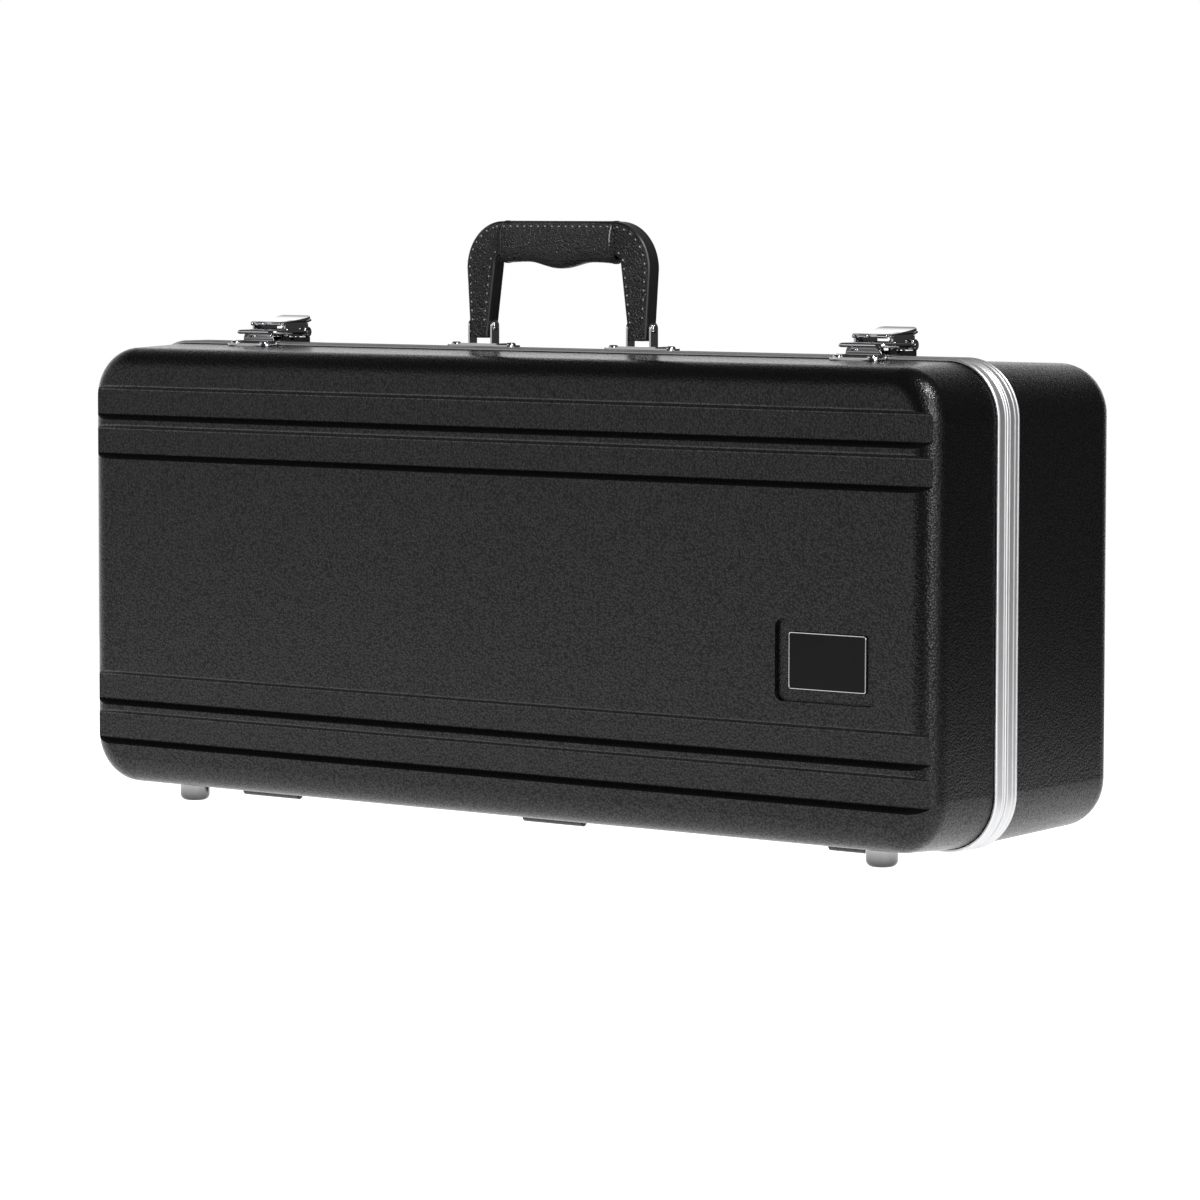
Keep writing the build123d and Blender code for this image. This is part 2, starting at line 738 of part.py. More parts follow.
# Padded grip: a sleeve round the bar, with a belly in the middle of its underside
grip_plane = Plane(origin=(0, handle_y, top_z), x_dir=(1, 0, 0), z_dir=(0, -1, 0))
grip_top = handle_rise + grip_cover
grip_low = handle_under - grip_waist
with BuildPart() as handle_grip:
    with BuildSketch(grip_plane):
        with BuildLine():
            Line((-grip_length / 2, grip_low), (-grip_length / 2, grip_top))
            Line((-grip_length / 2, grip_top), (grip_length / 2, grip_top))
            Line((grip_length / 2, grip_top), (grip_length / 2, grip_low))
            Spline(
                (grip_length / 2, grip_low),
                (grip_length / 4, grip_low + grip_cover / 2),
                (0, grip_low + grip_waist - grip_belly),
                (-grip_length / 4, grip_low + grip_cover / 2),
                (-grip_length / 2, grip_low),
                tangents=[(-1, 0), (-1, 0)],
            )
        make_face()
    extrude(amount=grip_thickness / 2, both=True)
    long_edges = handle_grip.faces().sort_by(Axis.Y)[0].edges()
    long_edges += handle_grip.faces().sort_by(Axis.Y)[-1].edges()
    fillet(long_edges.filter_by(Axis.Z, reverse=True), grip_round)
    with BuildSketch(grip_plane):
        with Locations((0, handle_rise - handle_bar_height / 2)):
            Rectangle(grip_length, handle_bar_height)
    extrude(amount=handle_half, both=True, mode=Mode.SUBTRACT)
save(handle_grip.part, "handle_grip")


def handle_plate(centre):
    """A riveted plate with a raised pad and two ears that hold the handle's pin."""
    base_z = top_z + valance_proud
    pad_top = base_z + handle_plate_thickness + handle_plate_pad_rise
    leg_half = handle_leg_foot_width / 2
    with BuildPart() as plate:
        with BuildSketch(Plane.XY.offset(base_z)):
            with Locations((centre, handle_y)):
                RectangleRounded(handle_plate_length, handle_plate_depth, handle_plate_depth / 3)
        extrude(amount=handle_plate_thickness)
        with BuildSketch(Plane.XY.offset(base_z)):
            with Locations((centre, handle_y)):
                Rectangle(handle_plate_pad_length, handle_plate_depth)
        extrude(amount=pad_top - base_z)
        for side in (-1, 1):
            inner = centre + side * (leg_half + handle_ear_gap)
            with BuildSketch(Plane.YZ.offset(inner)):
                with Locations((handle_y, handle_pivot_z)):
                    Circle(handle_ear_width / 2)
                with Locations((handle_y, (handle_pivot_z + base_z) / 2)):
                    Rectangle(handle_ear_width, handle_pivot_z - base_z)
            extrude(amount=side * handle_ear_thickness)
        with BuildSketch(Plane.YZ.offset(centre)):
            with Locations((handle_y, handle_pivot_z)):
                Circle(handle_pin_diameter / 2 + rivet_hole_clearance)
        extrude(amount=handle_plate_pad_length / 2, both=True, mode=Mode.SUBTRACT)
        with BuildSketch(Plane.XY.offset(base_z)):
            with Locations(
                (centre - handle_rivet_spread, handle_y), (centre + handle_rivet_spread, handle_y)
            ):
                Circle(rivet_hole)
        extrude(amount=handle_plate_thickness, mode=Mode.SUBTRACT)
    return plate.part


def handle_pin(centre):
    """The pin through both ears and the leg's bush, with a domed head at each end."""
    reach = handle_leg_foot_width / 2 + handle_ear_gap + handle_ear_thickness
    with BuildPart() as pin:
        with BuildSketch(Plane.YZ.offset(centre)):
            with Locations((handle_y, handle_pivot_z)):
                Circle(handle_pin_diameter / 2)
        extrude(amount=reach, both=True)
        for side in (-1, 1):
            with BuildSketch(Plane.YZ.offset(centre + side * reach)):
                with Locations((handle_y, handle_pivot_z)):
                    Circle(handle_pin_head / 2)
            extrude(amount=side * handle_pin_head_height)
        ends = pin.faces().sort_by(Axis.X)
        fillet(ends[0].edges() + ends[-1].edges(), handle_pin_head_height * 0.8)
    return pin.part


for name, centre in handle_plate_xs.items():
    save(handle_plate(centre), f"handle_plate_{name}")
    save(handle_pin(centre), f"handle_pin_{name}")
save(rivets(valance_top, handle_rivet_points, handle_plate_thickness, rim_grip), "handle_rivets")

# Draw latches, drawn on planes across X: Y is the distance behind the seam, Z the height
latch_zero = (seam_y, top_z)


def across(offset):
    """A plane across X whose sketch starts at the seam, level with the shell's top."""
    return Plane(origin=(offset, seam_y, top_z), x_dir=(0, 1, 0), z_dir=(1, 0, 0))


def latch_base(centre):
    """A pressed pan riveted to the base, with a tongue on the valance and two ears."""
    low = -latch_base_rise
    inner = latch_base_half_width - latch_metal
    with BuildPart() as pan:
        with BuildSketch(across(centre)):
            with BuildLine():
                Polyline(
                    (latch_base_front, valance_proud),
                    (base_valance_width + valance_slip, valance_proud),
                    (base_valance_width + valance_slip, low),
                    (latch_base_rear, low),
                    (latch_base_rear, latch_base_rise),
                    (base_valance_width - latch_metal, latch_base_rise),
                    (base_valance_width - 2 * latch_metal, valance_proud + latch_metal),
                    (latch_base_front, valance_proud + latch_metal),
                    close=True,
                )
            make_face()
        extrude(amount=latch_base_half_width, both=True)
        split(bisect_by=base_top, keep=Keep.TOP)
        with BuildSketch(across(centre)):
            with BuildLine():
                Polyline(
                    (base_valance_width + latch_metal, low),
                    (latch_base_rear - latch_metal, low),
                    (latch_base_rear - latch_metal, latch_base_rise - latch_metal),
                    (base_valance_width + latch_metal, latch_base_rise - latch_metal),
                    close=True,
                )
            make_face()
        extrude(amount=inner, both=True, mode=Mode.SUBTRACT)
        for side in (-1, 1):
            with BuildSketch(across(centre + side * latch_ear_outer)):
                with Locations((latch_pivot_from_seam, latch_pivot_rise)):
                    Circle(latch_ear_width / 2)
                ear_low = valance_proud + latch_metal / 2
                with Locations((latch_pivot_from_seam, (latch_pivot_rise + ear_low) / 2)):
                    Rectangle(latch_ear_width, latch_pivot_rise - ear_low)
            extrude(amount=-side * latch_ear_thickness)
        with BuildSketch(across(centre)):
            with Locations((latch_pivot_from_seam, latch_pivot_rise)):
                Circle(latch_pin_diameter / 2 + latch_pin_clearance)
        extrude(amount=latch_base_half_width, both=True, mode=Mode.SUBTRACT)
        points = [
            (centre + step * latch_rivet_spread, latch_rivet_from_seam - shell_edge)
            for step in (-1, 1)
        ]
        add(holes(base_top.offset(latch_base_rise + wall), points, rivet_hole, 3 * wall), mode=Mode.SUBTRACT)
    return pan.part


def latch_pin(centre, from_seam, rise, reach):
    """A plain cross pin of a latch."""
    with BuildPart() as pin:
        with BuildSketch(across(centre)):
            with Locations((from_seam, rise)):
                Circle(latch_pin_diameter / 2)
        extrude(amount=reach, both=True)
    return pin.part


def latch_lever(centre):
    """The lever: a plate with a raised finger tip and a cheek down each side."""
    cheek_outer = latch_cheek_inner + latch_cheek_thickness
    eye = latch_ear_width / 2
    with BuildPart() as lever:
        with BuildSketch(across(centre)):
            with BuildLine():
                Polyline(
                    (lever_front, lever_rise),
                    (lever_flat_end, lever_rise),
                    (lever_tip, lever_tip_rise),
                    (lever_tip, lever_tip_rise + lever_thickness),
                    (lever_flat_end, lever_rise + lever_thickness),
                    (lever_front, lever_rise + lever_thickness),
                    close=True,
                )
            make_face()
        extrude(amount=cheek_outer, both=True)
        for side in (-1, 1):
            with BuildSketch(across(centre + side * latch_cheek_inner)):
                with BuildLine():
                    Polyline(
                        (lever_front, lever_rise + lever_thickness / 2),
                        (lever_front, latch_pivot_rise),
                        (latch_pivot_from_seam, latch_pivot_rise - eye),
                        (bail_pin_from_seam, bail_pin_rise - eye + latch_pin_clearance),
                        (bail_pin_from_seam + eye, bail_pin_rise),
                        (bail_pin_from_seam + eye, lever_rise + lever_thickness / 2),
                        close=True,
                    )
                make_face()
            extrude(amount=side * latch_cheek_thickness)
        with BuildSketch(across(centre)):
            with Locations(
                (latch_pivot_from_seam, latch_pivot_rise), (bail_pin_from_seam, bail_pin_rise)
            ):
                Circle(latch_pin_diameter / 2 + latch_pin_clearance)
        extrude(amount=cheek_outer, both=True, mode=Mode.SUBTRACT)
        tip = lever.faces().sort_by(Axis.Y)[-1]
        fillet(tip.edges().filter_by(Axis.Z, reverse=True).filter_by(Axis.X), lever_thickness * 0.45)
    return lever.part


def latch_bail(centre):
    """The bail: two flat arms from the lever's pin to a cross bar in front of the keeper."""
    bar_centre = bail_bar_front + bail_bar_depth / 2
    bar_rear = bail_bar_front + bail_bar_depth
    bar_mid = bail_bar_low + bail_bar_height / 2
    arm_half = bail_arm_height / 2
    with BuildPart() as bail:
        for side in (-1, 1):
            with BuildSketch(across(centre + side * bail_arm_inner)):
                with BuildLine():
                    Polyline(
                        (bar_centre, bail_bar_low + bail_bar_height / 4),
                        (bar_rear, bail_bar_low),
                        (bail_pin_from_seam, bail_pin_rise - arm_half),
                        (bail_pin_from_seam, bail_pin_rise + arm_half),
                        (bar_centre, bail_bar_low + bail_bar_height),
                        close=True,
                    )
                make_face()
                with Locations((bail_pin_from_seam, bail_pin_rise)):
                    Circle(bail_eye / 2)
                    Circle(latch_pin_diameter / 2 + latch_pin_clearance, mode=Mode.SUBTRACT)
            extrude(amount=side * bail_arm_thickness)
        with BuildSketch(across(centre)):
            with Locations((bar_centre, bar_mid)):
                RectangleRounded(bail_bar_depth, bail_bar_height, bail_bar_depth / 3)
        extrude(amount=bail_arm_inner + bail_arm_thickness, both=True)
    return bail.part


def latch_keeper(centre):
    """The keeper on the lid: a flange on the shell, a step over the valance and a ridge."""
    step = lid_valance_width + valance_slip
    ridge_front = bail_bar_front + bail_bar_depth + keeper_bar_clearance
    with BuildPart() as keeper:
        with BuildSketch(across(centre)):
            with BuildLine():
                Polyline(
                    (keeper_front, -latch_base_rise),
                    (-step, -latch_base_rise),
                    (-step, valance_proud),
                    (keeper_rear, valance_proud),
                    (keeper_rear, valance_proud + latch_metal),
                    (-step - latch_metal, valance_proud + latch_metal),
                    (-step - 2 * latch_metal, keeper_flange_rise),
                    (keeper_front, keeper_flange_rise),
                    close=True,
                )
            make_face()
        extrude(amount=keeper_half_width, both=True)
        split(bisect_by=lid_top, keep=Keep.TOP)
        with BuildSketch(across(centre)):
            with Locations(
                (ridge_front + keeper_ridge_thickness / 2, (keeper_ridge_rise + valance_proud) / 2)
            ):
                Rectangle(keeper_ridge_thickness, keeper_ridge_rise - valance_proud)
        extrude(amount=keeper_ridge_half_width, both=True)
        crest = keeper.faces().sort_by(Axis.Z)[-1]
        fillet(crest.edges().filter_by(Axis.X), keeper_ridge_thickness * 0.4)
        points = [
            (centre + step_x * keeper_rivet_spread, keeper_rivet_from_seam + shell_edge)
            for step_x in (-1, 1)
        ]
        add(holes(lid_top.offset(wall), points, rivet_hole, 2 * wall), mode=Mode.SUBTRACT)
    return keeper.part


pivot_reach = latch_cheek_inner + latch_cheek_thickness + latch_metal / 2
bail_reach = bail_arm_inner + bail_arm_thickness + latch_metal / 2
for name, centre in latch_centres.items():
    save(latch_base(centre), f"latch_base_{name}")
    save(latch_pin(centre, latch_pivot_from_seam, latch_pivot_rise, pivot_reach), f"latch_pivot_{name}")
    save(latch_lever(centre), f"latch_lever_{name}")
    save(latch_pin(centre, bail_pin_from_seam, bail_pin_rise, bail_reach), f"latch_bail_pin_{name}")
    save(latch_bail(centre), f"latch_bail_{name}")
    save(latch_keeper(centre), f"keeper_{name}")

base_rivet_drop = (latch_rivet_from_seam - shell_edge) * tan(base_slope)
save(rivets(base_top, latch_rivet_points, latch_base_rise + base_rivet_drop + rivet_seat_clearance, wall), "latch_rivets")
keeper_lift = (-keeper_rivet_from_seam - shell_edge + rivet_head / 2) * tan(lid_slope)
save(rivets(lid_top, keeper_rivet_points, keeper_flange_rise + keeper_lift, wall), "keeper_rivets")
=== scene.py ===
import math

import bpy
import numpy as np
from bpy.props import FloatProperty, FloatVectorProperty, PointerProperty
from mathutils import Matrix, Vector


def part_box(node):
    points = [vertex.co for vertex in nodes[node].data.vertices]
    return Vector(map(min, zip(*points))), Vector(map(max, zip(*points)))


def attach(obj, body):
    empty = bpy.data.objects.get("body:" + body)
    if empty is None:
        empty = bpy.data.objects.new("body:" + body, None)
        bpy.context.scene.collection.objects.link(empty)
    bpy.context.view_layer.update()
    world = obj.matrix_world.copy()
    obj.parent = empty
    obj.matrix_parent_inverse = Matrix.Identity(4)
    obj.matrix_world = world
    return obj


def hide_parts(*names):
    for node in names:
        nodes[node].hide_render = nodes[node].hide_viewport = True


bl_info = {
    "name": "Saxophone Case Dresser",
    "version": (1, 0, 0),
    "blender": (4, 5, 0),
    "location": "View3D > Sidebar > Saxophone Case",
    "description": "Dresses a hard saxophone case: shells, rim, handle, latches, lining and stage",
    "category": "Object",
}

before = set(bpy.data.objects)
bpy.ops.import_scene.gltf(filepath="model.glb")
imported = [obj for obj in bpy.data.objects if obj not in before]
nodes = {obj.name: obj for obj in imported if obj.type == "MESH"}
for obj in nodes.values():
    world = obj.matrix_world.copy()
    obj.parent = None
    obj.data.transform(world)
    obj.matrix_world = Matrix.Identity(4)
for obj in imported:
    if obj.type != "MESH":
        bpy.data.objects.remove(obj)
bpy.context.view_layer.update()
MM = 0.001

# The room in reflections: bearing in degrees, from the front (0) through the right (90), and brightness
WALLS = (
    (-180.0, 0.5), (-165.0, 1.5), (-110.0, 1.5), (-80.0, 0.74), (-30.0, 0.74), (-14.0, 0.02), (34.0, 0.02),
    (46.0, 0.95), (84.0, 0.95), (94.0, 0.0), (170.0, 0.0), (180.0, 0.5),
)


# Properties that a user would change


class CaseShellSettings(bpy.types.PropertyGroup):
    """Moulded shells, their grain and the badge."""

    plastic: FloatVectorProperty(
        name="Plastic",
        description="Colour of the moulded shells",
        subtype="COLOR",
        default=(0.0019, 0.0019, 0.0021),
    )
    grain_size: FloatProperty(
        name="Grain",
        description="Width of one cell of the moulded grain, in mm",
        default=1.3,
        min=0.3,
        max=4.0,
    )
    grain_depth: FloatProperty(
        name="Grain depth", description="Height of the moulded grain, in mm", default=0.15, min=0.0, max=2.0
    )
    gloss: FloatProperty(
        name="Roughness", description="Roughness of the plastic", default=0.26, min=0.0, max=1.0
    )


class CaseMetalSettings(bpy.types.PropertyGroup):
    """Rim, chromed fittings and enamelled hinges."""

    aluminium: FloatVectorProperty(
        name="Aluminium", description="Colour of the rim", subtype="COLOR", default=(0.62, 0.62, 0.63)
    )
    chrome: FloatVectorProperty(
        name="Chrome",
        description="Colour of the bright fittings",
        subtype="COLOR",
        default=(0.56, 0.56, 0.57),
    )
    enamel: FloatVectorProperty(
        name="Enamel", description="Colour of the hinges", subtype="COLOR", default=(0.012, 0.012, 0.013)
    )


class CaseHandleSettings(bpy.types.PropertyGroup):
    """Leather handle and its stitching."""

    leather: FloatVectorProperty(
        name="Leather",
        description="Colour of the handle's leather",
        subtype="COLOR",
        default=(0.005, 0.005, 0.0053),
    )
    pebble_size: FloatProperty(
        name="Pebble", description="Width of one pebble of the leather, in mm", default=1.3, min=0.3, max=5.0
    )
    thread: FloatVectorProperty(
        name="Thread", description="Colour of the stitches", subtype="COLOR", default=(0.33, 0.33, 0.33)
    )
    stitch_pitch: FloatProperty(
        name="Stitch", description="Distance between stitches, in mm", default=5.3, min=1.5, max=12.0
    )


class CaseStageSettings(bpy.types.PropertyGroup):
    """Floor, lamps, world and camera."""

    floor: FloatVectorProperty(
        name="Floor", description="Colour of the floor", subtype="COLOR", default=(0.8, 0.8, 0.8)
    )
    key_power: FloatProperty(
        name="Key", description="Power of the large lamp", default=42.0, min=0.0, unit="POWER"
    )
    fill_power: FloatProperty(
        name="Fill", description="Power of the side lamp", default=2.5, min=0.0, unit="POWER"
    )
    top_power: FloatProperty(
        name="Top", description="Power of the small high lamp", default=22.0, min=0.0, unit="POWER"
    )
    ambient: FloatProperty(
        name="Ambient", description="Strength of the world on diffuse rays", default=0.35, min=0.0
    )
    ceiling: FloatProperty(
        name="Ceiling", description="Strength of the world's dark parts in reflections", default=0.06, min=0.0
    )


# Node helpers


def new_material(name):
    """An empty node material with an output."""
    material = bpy.data.materials.new(name)
    material.use_nodes = True
    tree = material.node_tree
    tree.nodes.clear()
    out = tree.nodes.new("ShaderNodeOutputMaterial")
    shader = tree.nodes.new("ShaderNodeBsdfPrincipled")
    tree.links.new(shader.outputs["BSDF"], out.inputs["Surface"])
    return material, tree, shader


def new_group(name, inputs, outputs):
    """A shader node group with float sockets, one vector input, and typed outputs."""
    group = bpy.data.node_groups.new(name, "ShaderNodeTree")
    group.interface.new_socket("Vector", in_out="INPUT", socket_type="NodeSocketVector")
    for label, value in inputs.items():
        socket = group.interface.new_socket(label, in_out="INPUT", socket_type="NodeSocketFloat")
        socket.default_value = value
    for label, kind in outputs.items():
        group.interface.new_socket(label, in_out="OUTPUT", socket_type=kind)
    return group, group.nodes.new("NodeGroupInput"), group.nodes.new("NodeGroupOutput")


def math_node(tree, operation, a, b=None, clamp=False):
    """One Math node on two values, each a socket or a number."""
    node = tree.nodes.new("ShaderNodeMath")
    node.operation = operation
    node.use_clamp = clamp
    for slot, value in zip(node.inputs, (a, b)):
        if value is None:
            continue
        if isinstance(value, (int, float)):
            slot.default_value = value
        else:
            tree.links.new(value, slot)
    return node.outputs[0]


def noise_node(tree, vector, scale, detail=2.0, roughness=0.5):
    """A Noise texture's value on a vector, with a scale that is a number or a socket."""
    node = tree.nodes.new("ShaderNodeTexNoise")
    tree.links.new(vector, node.inputs["Vector"])
    node.inputs["Detail"].default_value = detail
    node.inputs["Roughness"].default_value = roughness
    if isinstance(scale, (int, float)):
        node.inputs["Scale"].default_value = scale
    else:
        tree.links.new(scale, node.inputs["Scale"])
    return node.outputs[0]


def build_grain_group():
    """Moulded or natural grain: rounded cells from a smooth Voronoi distance, broken up by noise."""
    group, source, sink = new_group(
        "Grain", {"Cell": 1.0, "Break": 0.35}, {"Height": "NodeSocketFloat", "Mask": "NodeSocketFloat"}
    )
    scale = math_node(group, "DIVIDE", 1000.0, source.outputs["Cell"])
    warp = group.nodes.new("ShaderNodeTexNoise")
    group.links.new(source.outputs["Vector"], warp.inputs["Vector"])
    group.links.new(scale, warp.inputs["Scale"])
    warp.inputs["Detail"].default_value = 1.0
    shift = group.nodes.new("ShaderNodeVectorMath")
    shift.operation = "MULTIPLY_ADD"
    group.links.new(warp.outputs["Color"], shift.inputs[0])
    shift.inputs[1].default_value = (0.0006, 0.0006, 0.0006)
    group.links.new(source.outputs["Vector"], shift.inputs[2])
    cells = group.nodes.new("ShaderNodeTexVoronoi")
    cells.feature = "SMOOTH_F1"
    cells.inputs["Smoothness"].default_value = 0.35
    group.links.new(shift.outputs[0], cells.inputs["Vector"])
    group.links.new(scale, cells.inputs["Scale"])
    dome = math_node(group, "SUBTRACT", 1.0, cells.outputs["Distance"])
    fine = noise_node(group, source.outputs["Vector"], math_node(group, "MULTIPLY", scale, 2.3), 3.0, 0.6)
    mixed = math_node(group, "MULTIPLY_ADD", fine, source.outputs["Break"])
    group.links.new(dome, mixed.node.inputs[2])
    group.links.new(mixed, sink.inputs["Height"])
    group.links.new(math_node(group, "POWER", dome, 2.0), sink.inputs["Mask"])
    return group


def build_wear_group():
    """Handling marks: broad soft patches and fine streaks, as one mask from 0 to 1."""
    group, source, sink = new_group("Wear", {"Patch": 6.0, "Streak": 120.0}, {"Mask": "NodeSocketFloat"})
    patches = noise_node(group, source.outputs["Vector"], source.outputs["Patch"], 3.0, 0.55)
    streaks = noise_node(group, source.outputs["Vector"], source.outputs["Streak"], 4.0, 0.7)
    mixed = math_node(group, "MULTIPLY", patches, streaks)
    group.links.new(math_node(group, "MULTIPLY", mixed, 2.2, clamp=True), sink.inputs["Mask"])
    return group


def place_group(tree, group, vector, **values):
    """A group in a material, on a vector, with its values set on its own sockets."""
    node = tree.nodes.new("ShaderNodeGroup")
    node.node_tree = group
    tree.links.new(vector, node.inputs["Vector"])
    for label, value in values.items():
        node.inputs[label].default_value = value
    return node


def object_vector(tree, stretch=None):
    """Object coordinates, optionally scaled along each axis."""
    coordinates = tree.nodes.new("ShaderNodeTexCoord")
    if stretch is None:
        return coordinates.outputs["Object"]
    mapping = tree.nodes.new("ShaderNodeMapping")
    mapping.inputs["Scale"].default_value = stretch
    tree.links.new(coordinates.outputs["Object"], mapping.inputs["Vector"])
    return mapping.outputs["Vector"]


def add_bump(tree, shader, height, distance):
    """A Bump node from a height socket to the shader's Normal."""
    bump = tree.nodes.new("ShaderNodeBump")
    bump.inputs["Strength"].default_value = 1.0
    bump.inputs["Distance"].default_value = distance
    tree.links.new(height, bump.inputs["Height"])
    tree.links.new(bump.outputs["Normal"], shader.inputs["Normal"])


def map_range(tree, value, low, high):
    """A value from 0..1 onto low..high."""
    node = tree.nodes.new("ShaderNodeMapRange")
    node.inputs["To Min"].default_value = low
    node.inputs["To Max"].default_value = high
    tree.links.new(value, node.inputs["Value"])
    return node.outputs["Result"]


def mix_colours(tree, factor, first, second):
    """A colour between two fixed ones, by a mask."""
    node = tree.nodes.new("ShaderNodeMix")
    node.data_type = "RGBA"
    node.inputs["A"].default_value = (*first, 1.0)
    node.inputs["B"].default_value = (*second, 1.0)
    tree.links.new(factor, node.inputs["Factor"])
    return node.outputs["Result"]


def shade(colour, factor):
    """A colour times a factor, as a tuple."""
    return tuple(float(min(1.0, c * factor)) for c in colour)


# Materials of this object


groups = {}
materials = {}


def make_shell_plastic(settings):
    """Black moulded plastic with faint handling marks and a fine leather grain, shinier on its tops."""
    material, tree, shader = new_material("shell_plastic")
    vector = object_vector(tree)
    grain = place_group(tree, groups["Grain"], vector, Cell=settings.grain_size, Break=0.4)
    wear = place_group(tree, groups["Wear"], vector, Patch=5.0, Streak=90.0)
    colour = mix_colours(
        tree, wear.outputs["Mask"], shade(settings.plastic, 0.9), shade(settings.plastic, 1.35)
    )
    tree.links.new(colour, shader.inputs["Base Color"])
    rough = map_range(tree, grain.outputs["Mask"], settings.gloss + 0.04, settings.gloss - 0.08)
    tree.links.new(rough, shader.inputs["Roughness"])
    tree.links.new(map_range(tree, grain.outputs["Mask"], 0.17, 0.6), shader.inputs["Specular IOR Level"])
    add_bump(tree, shader, grain.outputs["Height"], settings.grain_depth * MM)
    return material


def make_rim_aluminium(settings):
    """Satin anodised aluminium with fine lines drawn along the extrusion."""
    material, tree, shader = new_material("rim_aluminium")
    vector = object_vector(tree, (20.0, 2500.0, 20.0))
    lines = noise_node(tree, vector, 1.0, 3.0, 0.6)
    wear = place_group(tree, groups["Wear"], object_vector(tree), Patch=14.0, Streak=220.0)
    colour = mix_colours(tree, wear.outputs["Mask"], settings.aluminium, shade(settings.aluminium, 0.86))
    tree.links.new(colour, shader.inputs["Base Color"])
    shader.inputs["Metallic"].default_value = 1.0
    tree.links.new(map_range(tree, lines, 0.46, 0.56), shader.inputs["Roughness"])
    add_bump(tree, shader, lines, 0.00002)
    return material


def make_plated_metal(name, clean, smudged, patch, streak, polish):
    """Plated metal: one colour where it is clean, another under faint smudges, and a roughness for each."""
    material, tree, shader = new_material(name)
    wear = place_group(tree, groups["Wear"], object_vector(tree), Patch=patch, Streak=streak)
    colour = mix_colours(tree, wear.outputs["Mask"], clean, smudged)
    tree.links.new(colour, shader.inputs["Base Color"])
    shader.inputs["Metallic"].default_value = 1.0
    tree.links.new(map_range(tree, wear.outputs["Mask"], *polish), shader.inputs["Roughness"])
    return material


def make_bright_chrome(settings):
    """Polished chrome."""
    chrome = settings.chrome
    return make_plated_metal("bright_chrome", chrome, shade(chrome, 0.88), 60.0, 600.0, (0.06, 0.14))


def make_darkened_chrome(settings):
    """The latch pans: the chrome colour darkened to 0.28 where clean and 0.45 under smudges."""
    clean, smudged = shade(settings.chrome, 0.28), shade(settings.chrome, 0.45)
    return make_plated_metal("darkened_chrome", clean, smudged, 60.0, 600.0, (0.1, 0.24))


def make_zinc_steel(settings):
    """Zinc plated steel with a dull, mottled finish."""
    return make_plated_metal("zinc_steel", (0.46, 0.46, 0.45), (0.6, 0.6, 0.58), 90.0, 500.0, (0.3, 0.5))


def make_hinge_enamel(settings):
    """Black enamel over steel, slightly uneven."""
    material, tree, shader = new_material("hinge_enamel")
    wear = place_group(tree, groups["Wear"], object_vector(tree), Patch=40.0, Streak=400.0)
    colour = mix_colours(tree, wear.outputs["Mask"], settings.enamel, shade(settings.enamel, 1.8))
    tree.links.new(colour, shader.inputs["Base Color"])
    tree.links.new(map_range(tree, wear.outputs["Mask"], 0.28, 0.42), shader.inputs["Roughness"])
    flow = noise_node(tree, object_vector(tree), 700.0, 2.0)
    add_bump(tree, shader, flow, 0.00003)
    return material


def make_handle_leather(settings):
    """Pebbled black leather with worn, lighter tops."""
    material, tree, shader = new_material("handle_leather")
    vector = object_vector(tree)
    pebble = place_group(tree, groups["Grain"], vector, Cell=settings.pebble_size, Break=0.5)
    colour = mix_colours(
        tree, pebble.outputs["Mask"], shade(settings.leather, 0.6), shade(settings.leather, 1.9)
    )
    tree.links.new(colour, shader.inputs["Base Color"])
    tree.links.new(map_range(tree, pebble.outputs["Mask"], 0.46, 0.2), shader.inputs["Roughness"])
    add_bump(tree, shader, pebble.outputs["Height"], 0.0017)
    return material


def make_edge_paint(settings):
    """Smooth sealed leather edge."""
    material, tree, shader = new_material("edge_paint")
    vector = object_vector(tree)
    soft = noise_node(tree, vector, 260.0, 3.0)
    colour = mix_colours(tree, soft, shade(settings.leather, 0.7), shade(settings.leather, 1.2))
    tree.links.new(colour, shader.inputs["Base Color"])
    tree.links.new(map_range(tree, soft, 0.34, 0.5), shader.inputs["Roughness"])
    add_bump(tree, shader, soft, 0.00006)
    return material


def make_thread(settings):
    """Waxed grey thread."""
    material, tree, shader = new_material("thread")
    twist = noise_node(tree, object_vector(tree), 2500.0, 2.0)
    colour = mix_colours(tree, twist, shade(settings.thread, 0.7), shade(settings.thread, 1.3))
    tree.links.new(colour, shader.inputs["Base Color"])
    shader.inputs["Roughness"].default_value = 0.5
    add_bump(tree, shader, twist, 0.00005)
    return material


def make_plush(settings):
    """Short dark plush: a sheen, a soft nap and fine fibres."""
    material, tree, shader = new_material("plush_lining")
    vector = object_vector(tree)
    nap = noise_node(tree, vector, 45.0, 3.0, 0.6)
    fibres = noise_node(tree, vector, 2600.0, 2.0, 0.7)
    colour = mix_colours(tree, nap, (0.012, 0.013, 0.018), (0.04, 0.042, 0.052))
    tree.links.new(colour, shader.inputs["Base Color"])
    shader.inputs["Roughness"].default_value = 0.92
    shader.inputs["Sheen Weight"].default_value = 0.5
    shader.inputs["Sheen Roughness"].default_value = 0.4
    shader.inputs["Specular IOR Level"].default_value = 0.15
    add_bump(tree, shader, fibres, 0.0006)
    return material


def make_badge_gloss(settings):
    """Glossy black plate with hardly any grain."""
    material, tree, shader = new_material("badge_gloss")
    haze = noise_node(tree, object_vector(tree), 35.0, 3.0)
    colour = mix_colours(tree, haze, (0.005, 0.005, 0.005), (0.009, 0.009, 0.01))
    tree.links.new(colour, shader.inputs["Base Color"])
    tree.links.new(map_range(tree, haze, 0.16, 0.24), shader.inputs["Roughness"])
    shader.inputs["Specular IOR Level"].default_value = 0.08
    return material


